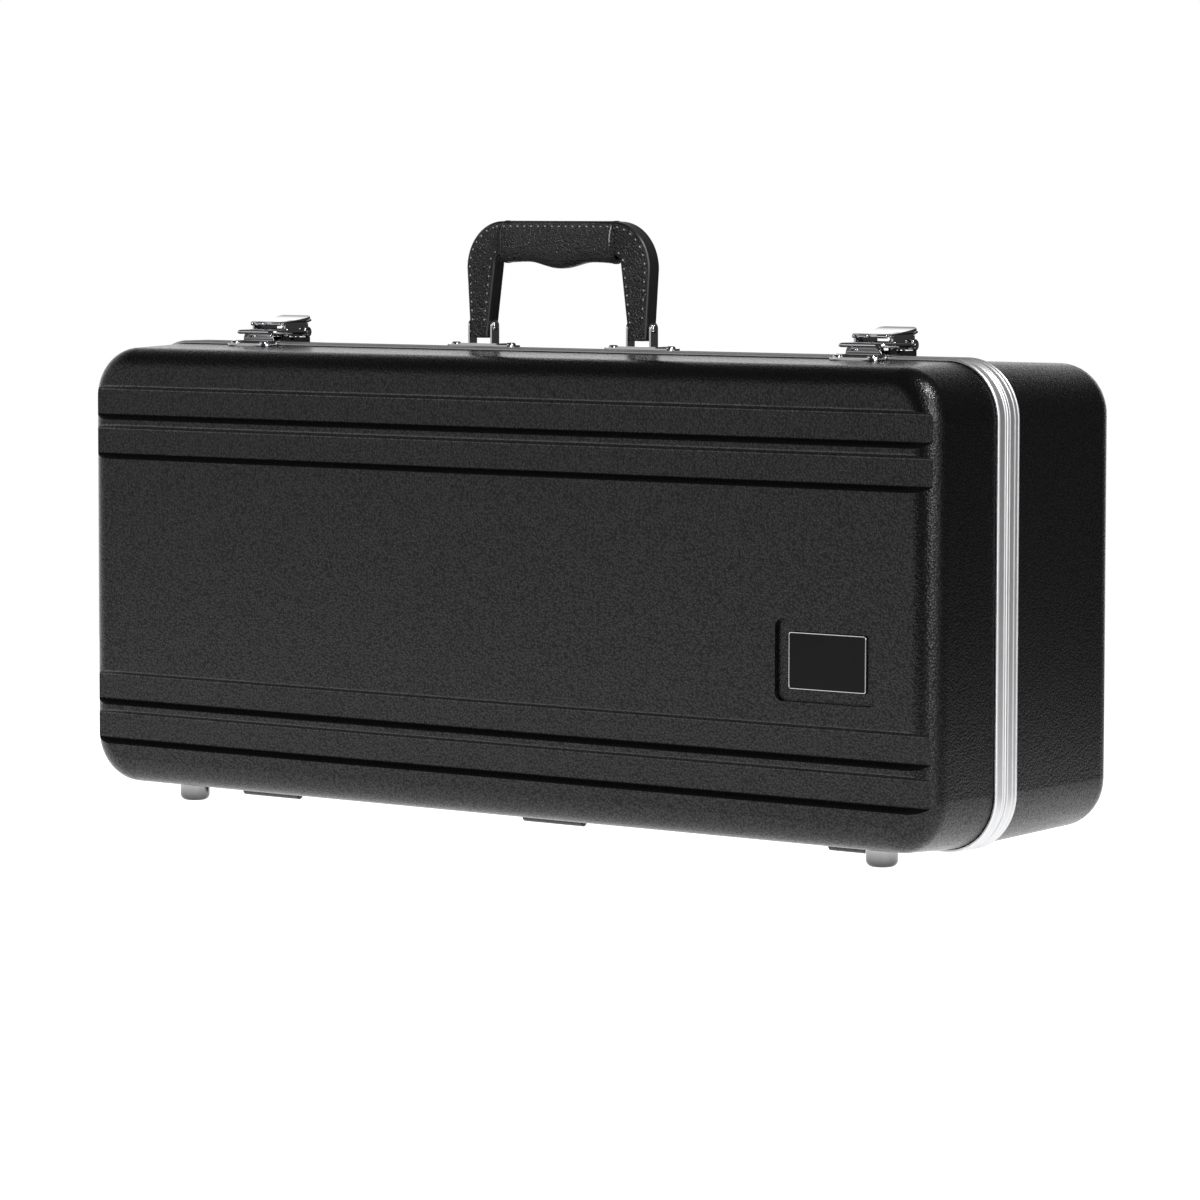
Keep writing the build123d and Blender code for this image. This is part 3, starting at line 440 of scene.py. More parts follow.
def make_foot_nickel(settings):
    """Bright nickel with painted shade: darker towards the ground, with noise that breaks up the shade's edge
    and varies the roughness.
    """
    painted_shade_height = 13.0 * MM
    material, tree, shader = new_material("foot_nickel")
    vector = object_vector(tree)
    split = tree.nodes.new("ShaderNodeSeparateXYZ")
    tree.links.new(vector, split.inputs[0])
    scuff_and_shade_noise = noise_node(tree, vector, 240.0, 3.0, 0.6)
    # Painted shade mask: 0 at the ground, 1 above the shade height, its edge broken by noise
    height = math_node(tree, "MULTIPLY_ADD", split.outputs["Z"], 1 / painted_shade_height)
    tree.links.new(math_node(tree, "MULTIPLY", scuff_and_shade_noise, 0.15), height.node.inputs[2])
    height.node.use_clamp = True
    # Painted shade: the colour falls from 0.6 of the chrome to almost black towards the ground
    colour = mix_colours(tree, height, shade(settings.chrome, 0.015), shade(settings.chrome, 0.6))
    tree.links.new(colour, shader.inputs["Base Color"])
    shader.inputs["Metallic"].default_value = 1.0
    tree.links.new(map_range(tree, scuff_and_shade_noise, 0.1, 0.22), shader.inputs["Roughness"])
    return material


def paint(names, material):
    """One material on several CAD nodes or pieces."""
    for name in names:
        target = nodes[name] if isinstance(name, str) else name
        target.data.materials.clear()
        target.data.materials.append(material)


def grid_mesh(name, points, close_u=False, close_v=False, flip=False):
    """A mesh object from an (n, m, 3) array: quads between neighbours, closed round either way if asked."""
    n, m, _ = points.shape
    index = np.arange(n * m).reshape(n, m)
    rows = np.arange(n if close_u else n - 1)
    cols = np.arange(m if close_v else m - 1)
    r, c = np.meshgrid(rows, cols, indexing="ij")
    r2, c2 = (r + 1) % n, (c + 1) % m
    faces = np.stack([index[r, c], index[r2, c], index[r2, c2], index[r, c2]], -1).reshape(-1, 4)
    if flip:
        faces = faces[:, ::-1]
    return faces_mesh(name, points.reshape(-1, 3), faces)


def faces_mesh(name, points, faces):
    """A smooth mesh object from points and faces that all have as many corners."""
    mesh = bpy.data.meshes.new(name)
    mesh.vertices.add(len(points))
    mesh.vertices.foreach_set("co", np.asarray(points, np.float32).ravel())
    corners = faces.shape[1]
    mesh.loops.add(faces.size)
    mesh.loops.foreach_set("vertex_index", faces.astype(np.int32).ravel())
    mesh.polygons.add(len(faces))
    mesh.polygons.foreach_set("loop_start", np.arange(0, faces.size, corners, dtype=np.int32))
    mesh.polygons.foreach_set("use_smooth", np.ones(len(faces), bool))
    mesh.update(calc_edges=True)
    mesh.validate()
    piece = bpy.data.objects.new(name, mesh)
    bpy.context.scene.collection.objects.link(piece)
    return piece


def middle_of(node):
    """The centre of a CAD node's box."""
    low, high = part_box(node)
    return (np.array(low) + np.array(high)) / 2


def straight(start, end, count):
    """Evenly spaced points on a line."""
    return np.linspace(start, end, count)


def arc(centre, radius, start, end, count):
    """Points on an arc: centre + radius * (cos t, sin t), t from start to end in degrees."""
    turn = np.radians(np.linspace(start, end, count))
    return np.asarray(centre) + radius * np.stack([np.cos(turn), np.sin(turn)], -1)


def rounded_path(half, corner, straight_count, arc_count):
    """A closed rounded rectangle about 0, with its outward normals.

    Each quarter is an arc of the corner radius about (half - corner), and the sides between the arcs are
    divided evenly, so that a section carried along it keeps its size.
    """
    points, normals = [], []
    inner = np.asarray(half) - corner
    signs = ((1, 1), (-1, 1), (-1, -1), (1, -1))
    for quarter, sign in enumerate(signs):
        turn = np.radians(np.linspace(90.0 * quarter, 90.0 * quarter + 90.0, arc_count))
        normal = np.stack([np.cos(turn), np.sin(turn)], 1)
        arc_points = inner * sign + corner * normal
        following = inner * signs[(quarter + 1) % 4] + corner * normal[-1]
        side = np.linspace(arc_points[-1], following, straight_count)[1:-1]
        points += [arc_points, side]
        normals += [normal, np.repeat(normal[-1:], len(side), 0)]
    return np.concatenate(points), np.concatenate(normals)


def joined_curve(*stretches):
    """Stretches end to end, each without the first point it shares with the last one."""
    return np.concatenate([stretches[0]] + [s[1:] for s in stretches[1:]])


def capped(points):
    """Rings with their ends closed: two more rings at each end, drawn in to their centre."""
    ends = []
    for ring, shares in ((points[:1], (0.001, 0.6)), (points[-1:], (0.6, 0.001))):
        centre = ring.mean(1, keepdims=True)
        ends.append([centre + (ring - centre) * share for share in shares])
    return np.concatenate(ends[0] + [points] + ends[1])


def outward(piece):
    """Turns a closed mesh's faces outwards: the sum of corner . normal over it is then positive."""
    mesh = piece.data
    mesh.calc_loop_triangles()
    count = len(mesh.vertices)
    co = np.zeros(count * 3, np.float32)
    mesh.vertices.foreach_get("co", co)
    co = co.reshape(-1, 3).astype(float)
    tri = np.zeros(len(mesh.loop_triangles) * 3, np.int32)
    mesh.loop_triangles.foreach_get("vertices", tri)
    a, b, c = (co[tri.reshape(-1, 3)[:, k]] for k in range(3))
    if np.einsum("ij,ij->i", a, np.cross(b, c)).sum() < 0:
        mesh.flip_normals()


def tube_mesh(name, path, radius, sides, closed=False):
    """A round tube along points: each ring is radius * (cos t * n + sin t * b) about its point.

    n is the path's side direction, worked out from its tangent and the most different axis, and b is
    the cross product of the tangent and n. An open tube is capped.
    """
    path = np.asarray(path, float)
    if closed:
        tangent = np.roll(path, -1, 0) - np.roll(path, 1, 0)
    else:
        tangent = np.gradient(path, axis=0)
    tangent /= np.linalg.norm(tangent, axis=1, keepdims=True)
    spread = np.ptp(path, axis=0)
    axis = np.eye(3)[int(np.argmin(spread))]
    side = np.cross(tangent, axis)
    side /= np.maximum(np.linalg.norm(side, axis=1, keepdims=True), 1e-9)
    up = np.cross(tangent, side)
    turn = np.linspace(0.0, 2 * np.pi, sides + 1)[:-1]
    rings = path[:, None, :] + radius * (
        np.cos(turn)[None, :, None] * side[:, None, :] + np.sin(turn)[None, :, None] * up[:, None, :]
    )
    if not closed:
        rings = capped(rings)
    piece = grid_mesh(name, rings, close_u=closed, close_v=True)
    outward(piece)
    return piece


def ellipsoids(name, places, directions, half_length, half_width, rings=5, sides=6):
    """Many small ellipsoids in one mesh, each stretched along its own direction.

    A point is place + half_length * cos(p) * d + half_width * sin(p) * (cos(t) * n + sin(t) * b).
    """
    d = directions / np.linalg.norm(directions, axis=1, keepdims=True)
    n = np.cross(d, (0.0, 1.0, 0.0))
    n /= np.linalg.norm(n, axis=1, keepdims=True)
    b = np.cross(d, n)
    pole = np.linspace(0.02, np.pi - 0.02, rings)
    turn = np.linspace(0.0, 2 * np.pi, sides + 1)[:-1]
    across = np.sin(pole)[:, None] * np.stack([np.cos(turn), np.sin(turn)])[:, None, :]
    points = (
        places[:, None, None, :]
        + half_length * np.cos(pole)[None, :, None, None] * d[:, None, None, :]
        + half_width * across[0][None, :, :, None] * n[:, None, None, :]
        + half_width * across[1][None, :, :, None] * b[:, None, None, :]
    )
    index = np.arange(rings * sides).reshape(rings, sides)
    after = np.roll(index, -1, 1)
    quads = np.stack([index[:-1], index[1:], after[1:], after[:-1]], -1).reshape(-1, 4)
    faces = (quads[None] + (np.arange(len(places)) * rings * sides)[:, None, None]).reshape(-1, 4)
    return faces_mesh(name, points.reshape(-1, 3), faces)


# Operators, one for each piece or group of like pieces


class CASE_OT_materials(bpy.types.Operator):
    """Build the shared node groups and this case's materials"""

    bl_idname = "sax_case.materials"
    bl_label = "Materials"

    def execute(self, context):
        scene = context.scene
        groups["Grain"] = build_grain_group()
        groups["Wear"] = build_wear_group()
        makers = {
            "shell": (make_shell_plastic, scene.case_shell),
            "rim": (make_rim_aluminium, scene.case_metal),
            "chrome": (make_bright_chrome, scene.case_metal),
            "zinc": (make_zinc_steel, scene.case_metal),
            "foot": (make_foot_nickel, scene.case_metal),
            "dark": (make_darkened_chrome, scene.case_metal),
            "hinge": (make_hinge_enamel, scene.case_metal),
            "leather": (make_handle_leather, scene.case_handle),
            "edge": (make_edge_paint, scene.case_handle),
            "thread": (make_thread, scene.case_handle),
            "plush": (make_plush, scene.case_shell),
            "badge": (make_badge_gloss, scene.case_shell),
        }
        for name, (maker, settings) in makers.items():
            materials[name] = maker(settings)
        return {"FINISHED"}


class CASE_OT_shells(bpy.types.Operator):
    """Finish the two moulded shells and the badge plate"""

    bl_idname = "sax_case.shells"
    bl_label = "Shells"

    def execute(self, context):
        paint(["lid_shell", "base_shell"], materials["shell"])
        paint(["badge_plate"], materials["badge"])
        self.add_badge_edge()
        return {"FINISHED"}

    def add_badge_edge(self):
        """A thin bright line round the badge's face: a round tube along a rounded rectangle."""
        inset, corner, sunk, radius = 0.5 * MM, 1.2 * MM, 0.15 * MM, 0.35 * MM
        low, high = (np.array(c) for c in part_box("badge_plate"))
        half = np.array([high[0] - low[0], high[2] - low[2]]) / 2 - inset
        path, _ = rounded_path(half, corner, 12, 6)
        points = np.zeros((len(path), 3))
        points[:, 0] = (low[0] + high[0]) / 2 + path[:, 0]
        points[:, 2] = (low[2] + high[2]) / 2 + path[:, 1]
        points[:, 1] = low[1] + sunk
        edge = tube_mesh("badge_edge", points, radius, 8, closed=True)
        paint([edge], materials["chrome"])
        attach(edge, "lid")


class CASE_OT_rim(bpy.types.Operator):
    """Draw the aluminium rim of both halves as beaded extrusions round the case"""

    bl_idname = "sax_case.rim"
    bl_label = "Rim"

    # In mm: how far the outer face stands off the path that the section follows, and that path's corner
    stand_off = 1.1
    corner = 33.0

    def execute(self, context):
        low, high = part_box("lid_valance")
        self.half = np.array([high[0] - low[0], high[2] - low[2]]) / 2 - 1.6 * MM
        self.middle = np.array([(low[0] + high[0]) / 2, (low[2] + high[2]) / 2])
        self.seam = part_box("base_valance")[0][1] - 0.2 * MM
        # In mm: corners of tongue and groove as (stand-off, depth), beads as (place, height, half width)
        tongue = [(-2.2, 0.2), (-2.2, -1.4), (-0.8, -1.4), (-0.8, 0.2)]
        groove = [(-2.5, 0.2), (-2.5, 1.5), (-0.5, 1.5), (-0.5, 0.2)]
        lid_face = [(0.35, 0.5, 0.6), (2.2, 0.5, 1.1), (7.9, 0.5, 1.5)]
        base_face = [(0.35, 0.5, 0.6), (2.2, 0.4, 0.7), (7.3, 0.5, 1.3), (10.6, 0.5, 1.1)]
        self.add_half("lid_rim", "lid", -1, 9.3, lid_face, tongue)
        self.add_half("base_rim", "base", 1, 11.7, base_face, groove)
        return {"FINISHED"}

    def outer_face(self, width, beads):
        """The outer face from the seam outwards, as (stand-off, distance from the seam) in mm.

        The stand-off is even, plus one cosine wave per bead, height * (1 + cos(pi * t)) / 2, with t running
        from 0 at the bead's middle to 1 at its foot, and less a rounding at the rim's own edge.
        """
        along = np.linspace(0.2, width, 61)
        stand = np.full(along.shape, self.stand_off)
        for place, height, half in beads:
            t = np.clip(np.abs(along - place) / half, 0, 1)
            stand = np.maximum(stand, self.stand_off + 0.5 * height * (1 + np.cos(np.pi * t)))
        edge = 0.25 * np.clip(1 - (width - along) / 0.4, 0, 1) ** 2
        return np.stack([stand - edge, along], 1)

    def add_half(self, name, body, side, width, beads, joint):
        """One rim: its closed section, carried round the rounded outline of the shells."""
        outer = self.outer_face(width, beads)
        inside = [(0.05, width), (0.05, 1.6), (-3.45, 1.6), (-3.45, 9.0), (-4.65, 9.0), (-4.65, 0.2)]
        section = np.concatenate([outer, inside, joint]) * MM
        path, normal = rounded_path(self.half, self.corner * MM, 14, 20)
        points = np.zeros((len(path), len(section), 3))
        spot = self.middle + path[:, None, :] + normal[:, None, :] * section[None, :, 0, None]
        points[..., 0] = spot[..., 0]
        points[..., 2] = spot[..., 1]
        points[..., 1] = self.seam + side * section[None, :, 1]
        rim = grid_mesh(name, points, close_u=True, close_v=True)
        rim.data.set_sharp_from_angle(angle=math.radians(38.0))
        paint([rim], materials["rim"])
        outward(rim)
        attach(rim, body)
        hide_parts(f"{body}_valance")


class CASE_OT_fittings(bpy.types.Operator):
    """Finish feet, hinges, latches, plates and their fasteners"""

    bl_idname = "sax_case.fittings"
    bl_label = "Fittings"

    def execute(self, context):
        feet = [n for n in nodes if n.startswith(("front_foot_", "rear_foot_")) and "screws" not in n]
        pans = ["latch_base_left", "latch_base_right"]
        chrome = [n for n in nodes if n.startswith(("latch_", "keeper_")) and n not in pans]
        chrome += [n for n in nodes if n.startswith(("handle_plate_", "handle_pin_", "handle_rivets"))]
        zinc = [n for n in nodes if n.endswith("_foot_screws")] + ["handle_bushes"]
        paint(feet, materials["foot"])
        paint(pans, materials["dark"])
        paint([n for n in chrome if n not in zinc], materials["chrome"])
        paint(zinc, materials["zinc"])
        paint([n for n in nodes if n.startswith("hinge_")], materials["hinge"])
        return {"FINISHED"}


# Latch sizes in mm, measured from a zero in front of its lever's pin and below it
PIN_PLACE = (0.0, 4.5, 8.4)
LEVER_TIP, LEVER_HALF = 26.8, 13.9
KNUCKLE_AXIS, KNUCKLE_RADIUS = (0.95, 12.5), 1.1
KNUCKLE_SPANS = ((-13.7, -12.4), (-10.2, -3.4), (3.4, 10.2), (12.4, 13.7))
BAIL_HALF, BAIL_FRONT, BAIL_BACK, BAIL_CORNER = 15.9, -11.2, 17.2, 5.0
BAIL_LEVEL, BAIL_WIRE = 7.6, 1.35
EYE_PLACE, EYE_RADIUS, EYE_WIRE = 20.0, 2.55, 0.9
KEEPER_FRONT, KEEPER_HALF, KEEPER_CORNER = -20.0, 17.4, 5.0
HOOK_FOOT, HOOK_RISE = 2.7, 6.8

# Corners of a stamping's section: share of the half width, bevels to the right, share of the height,
# bevels upwards
STAMPING = (
    (-1, 0, 0, 1), (-1, 0, 0, 0.5), (-1, 0, 1, -1), (-1, 1, 1, 0), (-0.5, 0, 1, 0), (0, 0, 1, 0),
    (0.5, 0, 1, 0), (1, -1, 1, 0), (1, 0, 1, -1), (1, 0, 0, 0.5), (1, 0, 0, 1), (0.5, 0, 0, 0),
    (0, 0, 0, 0), (-0.5, 0, 0, 0),
)


class CASE_OT_latches(bpy.types.Operator):
    """Shape the draw latches: a wedge on each lever, a bent wire bail and a hooked keeper"""

    bl_idname = "sax_case.latches"
    bl_label = "Latches"

    def execute(self, context):
        for name in ("left", "right"):
            self.zero = middle_of(f"latch_pivot_{name}") - np.array(PIN_PLACE) * MM
            self.add_cover(name)
            self.add_bail(name)
            self.add_keeper(name)
        return {"FINISHED"}

    def finish(self, piece, body):
        """Material and body of one latch piece, with its faces turned outwards."""
        paint([piece], materials["chrome"])
        outward(piece)
        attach(piece, body)

    def swept(self, name, along, low, high, half, bevel):
        """A solid across X: at each place along Y a bevelled box from low to high, half wide each way."""
        side, inset, level, drop = np.array(STAMPING).T
        height = (high - low)[:, None]
        points = np.zeros((len(along), len(STAMPING), 3))
        points[..., 0] = side * half[:, None] + inset * bevel
        points[..., 1] = along[:, None]
        points[..., 2] = low[:, None] + height * level + drop * np.minimum(bevel, 0.4 * height)
        piece = grid_mesh(name, capped(self.zero + points * MM), close_v=True)
        piece.data.set_sharp_from_angle(angle=math.radians(40.0))
        return piece

    def add_cover(self, name):
        """The lever's pressed top, a wedge that rises to its tip by a shallow wave, and its knuckles."""
        underside, tip_lift, top, rise, hollow, lip, round_tip = 13.63, 2.12, 14.2, 3.0, 0.45, 0.5, 3.0
        along = np.linspace(0.9, LEVER_TIP, 40)
        t = (along - along[0]) / np.ptp(along)
        low = underside + tip_lift * np.clip((along - 19.5) / 6.5, 0, 1)
        high = top + rise * t - hollow * np.sin(np.pi * t) + lip * np.clip((t - 0.8) / 0.2, 0, 1) ** 2
        corner = np.clip((LEVER_TIP - along) / round_tip, 0, 1)
        half = LEVER_HALF - round_tip * (1 - np.sqrt(1 - (1 - corner) ** 2))
        self.finish(self.swept(f"lever_cover_{name}", along, low, high, half, 0.6), f"lever_{name}")
        for index, (start, end) in enumerate(KNUCKLE_SPANS):
            line = np.zeros((9, 3))
            line[:, 0] = np.linspace(start, end, 9)
            line[:, 1:] = KNUCKLE_AXIS
            line = self.zero + line * MM
            knuckle = tube_mesh(f"lever_knuckle_{name}_{index + 1}", line, KNUCKLE_RADIUS * MM, 16)
            self.finish(knuckle, f"lever_{name}")

    def add_bail(self, name):
        """The bail: a round wire that runs forward from an eye on each side, round two corners and across."""
        bend = (BAIL_HALF - BAIL_CORNER, BAIL_FRONT + BAIL_CORNER)
        right = joined_curve(
            straight((BAIL_HALF, BAIL_BACK), (BAIL_HALF, bend[1]), 12),
            arc(bend, BAIL_CORNER, 0.0, -90.0, 10),
            straight((bend[0], BAIL_FRONT), (0.0, BAIL_FRONT), 8),
        )
        plan = np.concatenate([right, right[-2::-1] * (-1.0, 1.0)])
        ahead = np.clip((BAIL_BACK - plan[:, 1]) / (BAIL_BACK - BAIL_FRONT), 0, 1)
        line = np.stack([plan[:, 0], plan[:, 1], BAIL_LEVEL + 0.15 * ahead], 1)
        wire = tube_mesh(f"bail_wire_{name}", self.zero + line * MM, BAIL_WIRE * MM, 16)
        self.finish(wire, f"bail_{name}")
        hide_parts(f"latch_bail_{name}")
        turn = np.linspace(0.0, 2 * math.pi, 33)[:-1]
        ring = np.zeros((len(turn), 3))
        ring[:, 1] = EYE_PLACE + EYE_RADIUS * np.cos(turn)
        ring[:, 2] = BAIL_LEVEL + EYE_RADIUS * np.sin(turn)
        for side, label in ((-1, "outer"), (1, "inner")):
            ring[:, 0] = BAIL_HALF * side
            eye = tube_mesh(f"bail_eye_{name}_{label}", self.zero + ring * MM, EYE_WIRE * MM, 12, closed=True)
            self.finish(eye, f"bail_{name}")

    def add_keeper(self, name):
        """The keeper: a flange with round corners that steps over the rim, and a hook behind the bail."""
        along = np.concatenate(
            [np.linspace(KEEPER_FRONT, -15.0, 14), np.linspace(-14.0, -11.8, 4), np.linspace(-11.4, -1.0, 18)]
        )
        flange_top, step_rise, step_start, step_run, over_rim = 0.95, 1.8, -11.7, 1.2, 1.62
        step = np.clip((along - step_start) / step_run, 0, 1)
        front = np.clip((along - KEEPER_FRONT) / KEEPER_CORNER, 0, 1)
        half = KEEPER_HALF - KEEPER_CORNER * (1 - np.sqrt(1 - (1 - front) ** 2))
        low = np.where(along < -9.95, -0.035 * np.abs(along) + 0.05, over_rim)
        high = flange_top + step_rise * step * step * (3 - 2 * step)
        plate = self.swept(f"keeper_plate_{name}", along, low, high, half, 0.35)
        self.finish(plate, "lid")
        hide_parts(f"keeper_{name}")
        rise = np.linspace(0.0, 1.0, 24)
        middle = -7.3 - 1.35 * np.sin(0.5 * np.pi * rise)
        width = 12.8 - 4.6 * rise**1.5 - 2.5 * np.clip((rise - 0.85) / 0.15, 0, 1) ** 2
        turn = np.linspace(0.0, 2 * math.pi, 25)[:-1]
        c, s = np.cos(turn), np.sin(turn)
        points = np.zeros((len(rise), len(turn), 3))
        points[..., 0] = width[:, None] * np.sign(c) * np.abs(c) ** 0.35
        points[..., 1] = middle[:, None] + 0.6 * np.sign(s) * np.abs(s) ** 0.5
        points[..., 2] = (HOOK_FOOT + HOOK_RISE * rise)[:, None]
        hook = grid_mesh(f"keeper_hook_{name}", capped(self.zero + points * MM), close_v=True)
        self.finish(hook, "lid")


# Handle sizes in mm: height of the bar, half the grip's length, half the length in which it hides stitches
BAR_HEIGHT = 20.0
GRIP_REACH = 43.5
GRIP_CLEAR = 44.5


class CASE_OT_handle(bpy.types.Operator):
    """Build the leather handle: a banded U, a padded grip, end seams and stitching"""

    bl_idname = "sax_case.handle"
    bl_label = "Handle"

    def execute(self, context):
        settings = context.scene.case_handle
        self.middle = middle_of("handle_core")
        self.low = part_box("handle_front_panel")[0][2]
        self.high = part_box("handle_front_panel")[1][2]
        self.thick = (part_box("handle_rear_panel")[1][1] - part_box("handle_front_panel")[0][1]) / 2
        outer, inner = self.outline()
        self.add_band(outer, inner)
        self.add_grip()
        self.add_stitches(outer, inner, settings.stitch_pitch * MM)
        return {"FINISHED"}

    def outline(self):
        """Outer and inner curves of the U, point for point, from the left foot over the bar to the right."""
        outer = self.half_curve(67.3 * MM, 42.2 * MM, 28.0 * MM, self.high)
        inner = self.half_curve(54.5 * MM, 42.4 * MM, 6.0 * MM, self.high - BAR_HEIGHT * MM)
        mirrored = [np.concatenate([c, c[-2::-1] * (-1.0, 1.0)]) for c in (outer, inner)]
        return [c[::-1] for c in mirrored]

    def half_curve(self, foot, bend_place, bend, top):
        """The right half of one curve: a straight leg, a quarter arc of radius bend and half the bar."""
        level = top - bend
        return joined_curve(
            straight((foot, self.low), (bend_place + bend, level), 26),
            arc((bend_place, level), bend, 0.0, 90.0, 26),
            straight((bend_place, top), (0.0, top), 22),
        )

    def add_band(self, outer, inner):
        """The U: at each station a closed ring of (share from inner to outer, depth).

        The ring has two slightly domed leather faces with rolled edges, and between them a flat edge
        with a shallow groove on each side of the middle layer.
        """
        faces, edges = 17, 13
        face = np.linspace(-1.0, 1.0, faces)
        share = 0.5 + 0.5 * face
        roll = 0.5 * (1 - np.cos(np.pi * np.clip((1 - np.abs(face)) / 0.16, 0, 1)))
        depth = self.thick - 1.1 * MM * (1 - roll) ** 2 - 0.25 * MM * face**2
        edge = np.linspace(1.0, -1.0, edges + 2)[1:-1]
        groove = 0.35 * MM * np.exp(-(((np.abs(edge) - 0.36) / 0.09) ** 2))
        edge_depth = edge * (self.thick - 1.3 * MM)
        shares = np.concatenate([share, np.ones(edges), share[::-1], np.zeros(edges)])
        depths = np.concatenate([depth, edge_depth, -depth[::-1], -edge_depth])
        sink = np.concatenate([np.zeros(faces), groove, np.zeros(faces), -groove])
        width = np.linalg.norm(outer - inner, axis=1)[:, None]
        mixed = shares[None, :] - sink[None, :] / width
        points = np.zeros((len(outer), len(shares), 3))
        points[..., 0] = inner[:, 0:1] + (outer - inner)[:, 0:1] * mixed
        points[..., 2] = inner[:, 1:2] + (outer - inner)[:, 1:2] * mixed
        points[..., 1] = self.middle[1] - depths[None, :]
        points = capped(points)
        band = grid_mesh("handle_band", points, close_v=True)
        band.data.materials.append(materials["leather"])
        band.data.materials.append(materials["edge"])
        column = np.arange(len(shares))
        outer_edge = (column >= faces - 2) & (column <= faces + edges)
        is_edge = outer_edge | (column >= 2 * faces + edges - 2) | (column < 1)
        band.data.polygons.foreach_set("material_index", np.tile(is_edge, len(points) - 1).astype(np.int32))
        outward(band)
        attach(band, "handle")
        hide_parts("handle_front_panel", "handle_rear_panel", "handle_core")

    def add_grip(self):
        """The grip: rings round the bar along X.

        Each ring is a superellipse, |y|^3 + |z|^3 = 1, between a straight top and a wavy underside that
        falls by cos^2 to a belly in the middle. It swells slightly to the middle and rolls in at both ends.
        """
        roll_length, belly_reach, belly_fall, tail_fall = 3.2 * MM, 0.56, 3.9 * MM, 0.9 * MM
        height, end_half_width, end_half_height = 24.2 * MM, 5.2 * MM, 10.0 * MM
        stations = np.linspace(-1.0, 1.0, 61)
        x = np.sign(stations) * (1 - (1 - np.abs(stations)) ** 1.35) * GRIP_REACH * MM
        turn = np.linspace(0.0, 2 * np.pi, 49)[:-1]
        reach = np.clip((GRIP_REACH * MM - np.abs(x)) / roll_length, 0.0, 1.0)
        roll = np.sqrt(1 - (1 - reach) ** 2)
        share = np.abs(x) / (GRIP_REACH * MM)
        belly = np.where(share < belly_reach, 0.5 * (1 + np.cos(np.pi * share / belly_reach)), 0.0)
        tail = np.clip((share - belly_reach) / (1 - belly_reach), 0.0, 1.0) ** 2
        top = self.high + 0.3 * MM
        under = self.high - height - belly_fall * belly - tail_fall * tail
        half = (top - under) / 2
        centre = (top + under) / 2
        swell = 7.6 * MM + 0.9 * MM * np.cos(share * np.pi / 2)
        wide = end_half_width + (swell - end_half_width) * roll
        tall = end_half_height + (half - end_half_height) * roll
        c, s = np.cos(turn), np.sin(turn)
        ring_y = np.sign(c) * np.abs(c) ** (2 / 3)
        ring_z = np.sign(s) * np.abs(s) ** (2 / 3)
        points = np.zeros((len(x), len(turn), 3))
        points[..., 0] = x[:, None]
        points[..., 1] = self.middle[1] + wide[:, None] * ring_y
        points[..., 2] = centre[:, None] + tall[:, None] * ring_z
        grip = grid_mesh("grip_pad", points, close_v=True)
        paint([grip], materials["leather"])
        outward(grip)
        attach(grip, "handle")
        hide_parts("handle_grip")
        for side in (-1, 1):
            at = int(np.argmin(np.abs(x - side * 41.6 * MM)))
            loop = points[at].copy()
            loop[:, 1] = self.middle[1] + (loop[:, 1] - self.middle[1]) * 1.01
            seam = tube_mesh(f"grip_seam_{'left' if side < 0 else 'right'}", loop, 0.42 * MM, 8, closed=True)
            paint([seam], materials["edge"])
            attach(seam, "handle")
        self.add_whipping()

    def add_whipping(self):
        """The thread that closes the grip's right end: a slanting line on its face that zigzags by a sine."""
        start, slant, wave, turns = 41.2, 1.6, 0.25, 38.0
        t = np.linspace(0.0, 1.0, 41)
        line = np.zeros((len(t), 3))
        line[:, 0] = (start + slant * t + wave * np.sin(t * turns)) * MM
        line[:, 1] = self.middle[1] - (7.6 - 0.9 * np.abs(2 * t - 0.9) ** 3) * MM
        line[:, 2] = self.high - (17.0 - 14.5 * t) * MM
        thread = tube_mesh("grip_whipping", line, 0.3 * MM, 8)
        paint([thread], materials["thread"])
        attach(thread, "handle")

    def add_stitches(self, outer, inner, pitch):
        """Rows of short stitches, 3 mm inside each edge on both faces, as low ellipsoids along the row."""
        places, directions = [], []
        width = np.linalg.norm(outer - inner, axis=1)[:, None]
        for curve, other in ((outer, inner), (inner, outer)):
            row = curve + (other - curve) * (3.0 * MM / width)
            length = np.concatenate([[0.0], np.cumsum(np.linalg.norm(np.diff(row, axis=0), axis=1))])
            at = np.arange(11.0 * MM, length[-1] - 10.0 * MM, pitch)
            xz, ahead = (
                np.stack([np.interp(at + lead, length, row[:, k]) for k in (0, 1)], 1)
                for lead in (0.0, 0.5 * MM)
            )
            on_grip = np.abs(xz[:, 0]) < GRIP_CLEAR * MM
            clear = (np.abs(xz[:, 0]) > GRIP_CLEAR * MM) | (xz[:, 1] > self.high - 5.0 * MM)
            depth = np.where(on_grip, 8.05 * MM, self.thick - 0.12 * MM)
            step = np.stack([ahead[:, 0] - xz[:, 0], np.zeros(len(at)), ahead[:, 1] - xz[:, 1]], 1)
            for side in (-1, 1):
                y = self.middle[1] + side * depth
                places.append(np.stack([xz[:, 0], y, xz[:, 1]], 1)[clear])
                directions.append(step[clear])
        places, directions = np.concatenate(places), np.concatenate(directions)
        stitches = ellipsoids("handle_stitches", places, directions, 0.7 * MM, 0.45 * MM)
        paint([stitches], materials["thread"])
        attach(stitches, "handle")


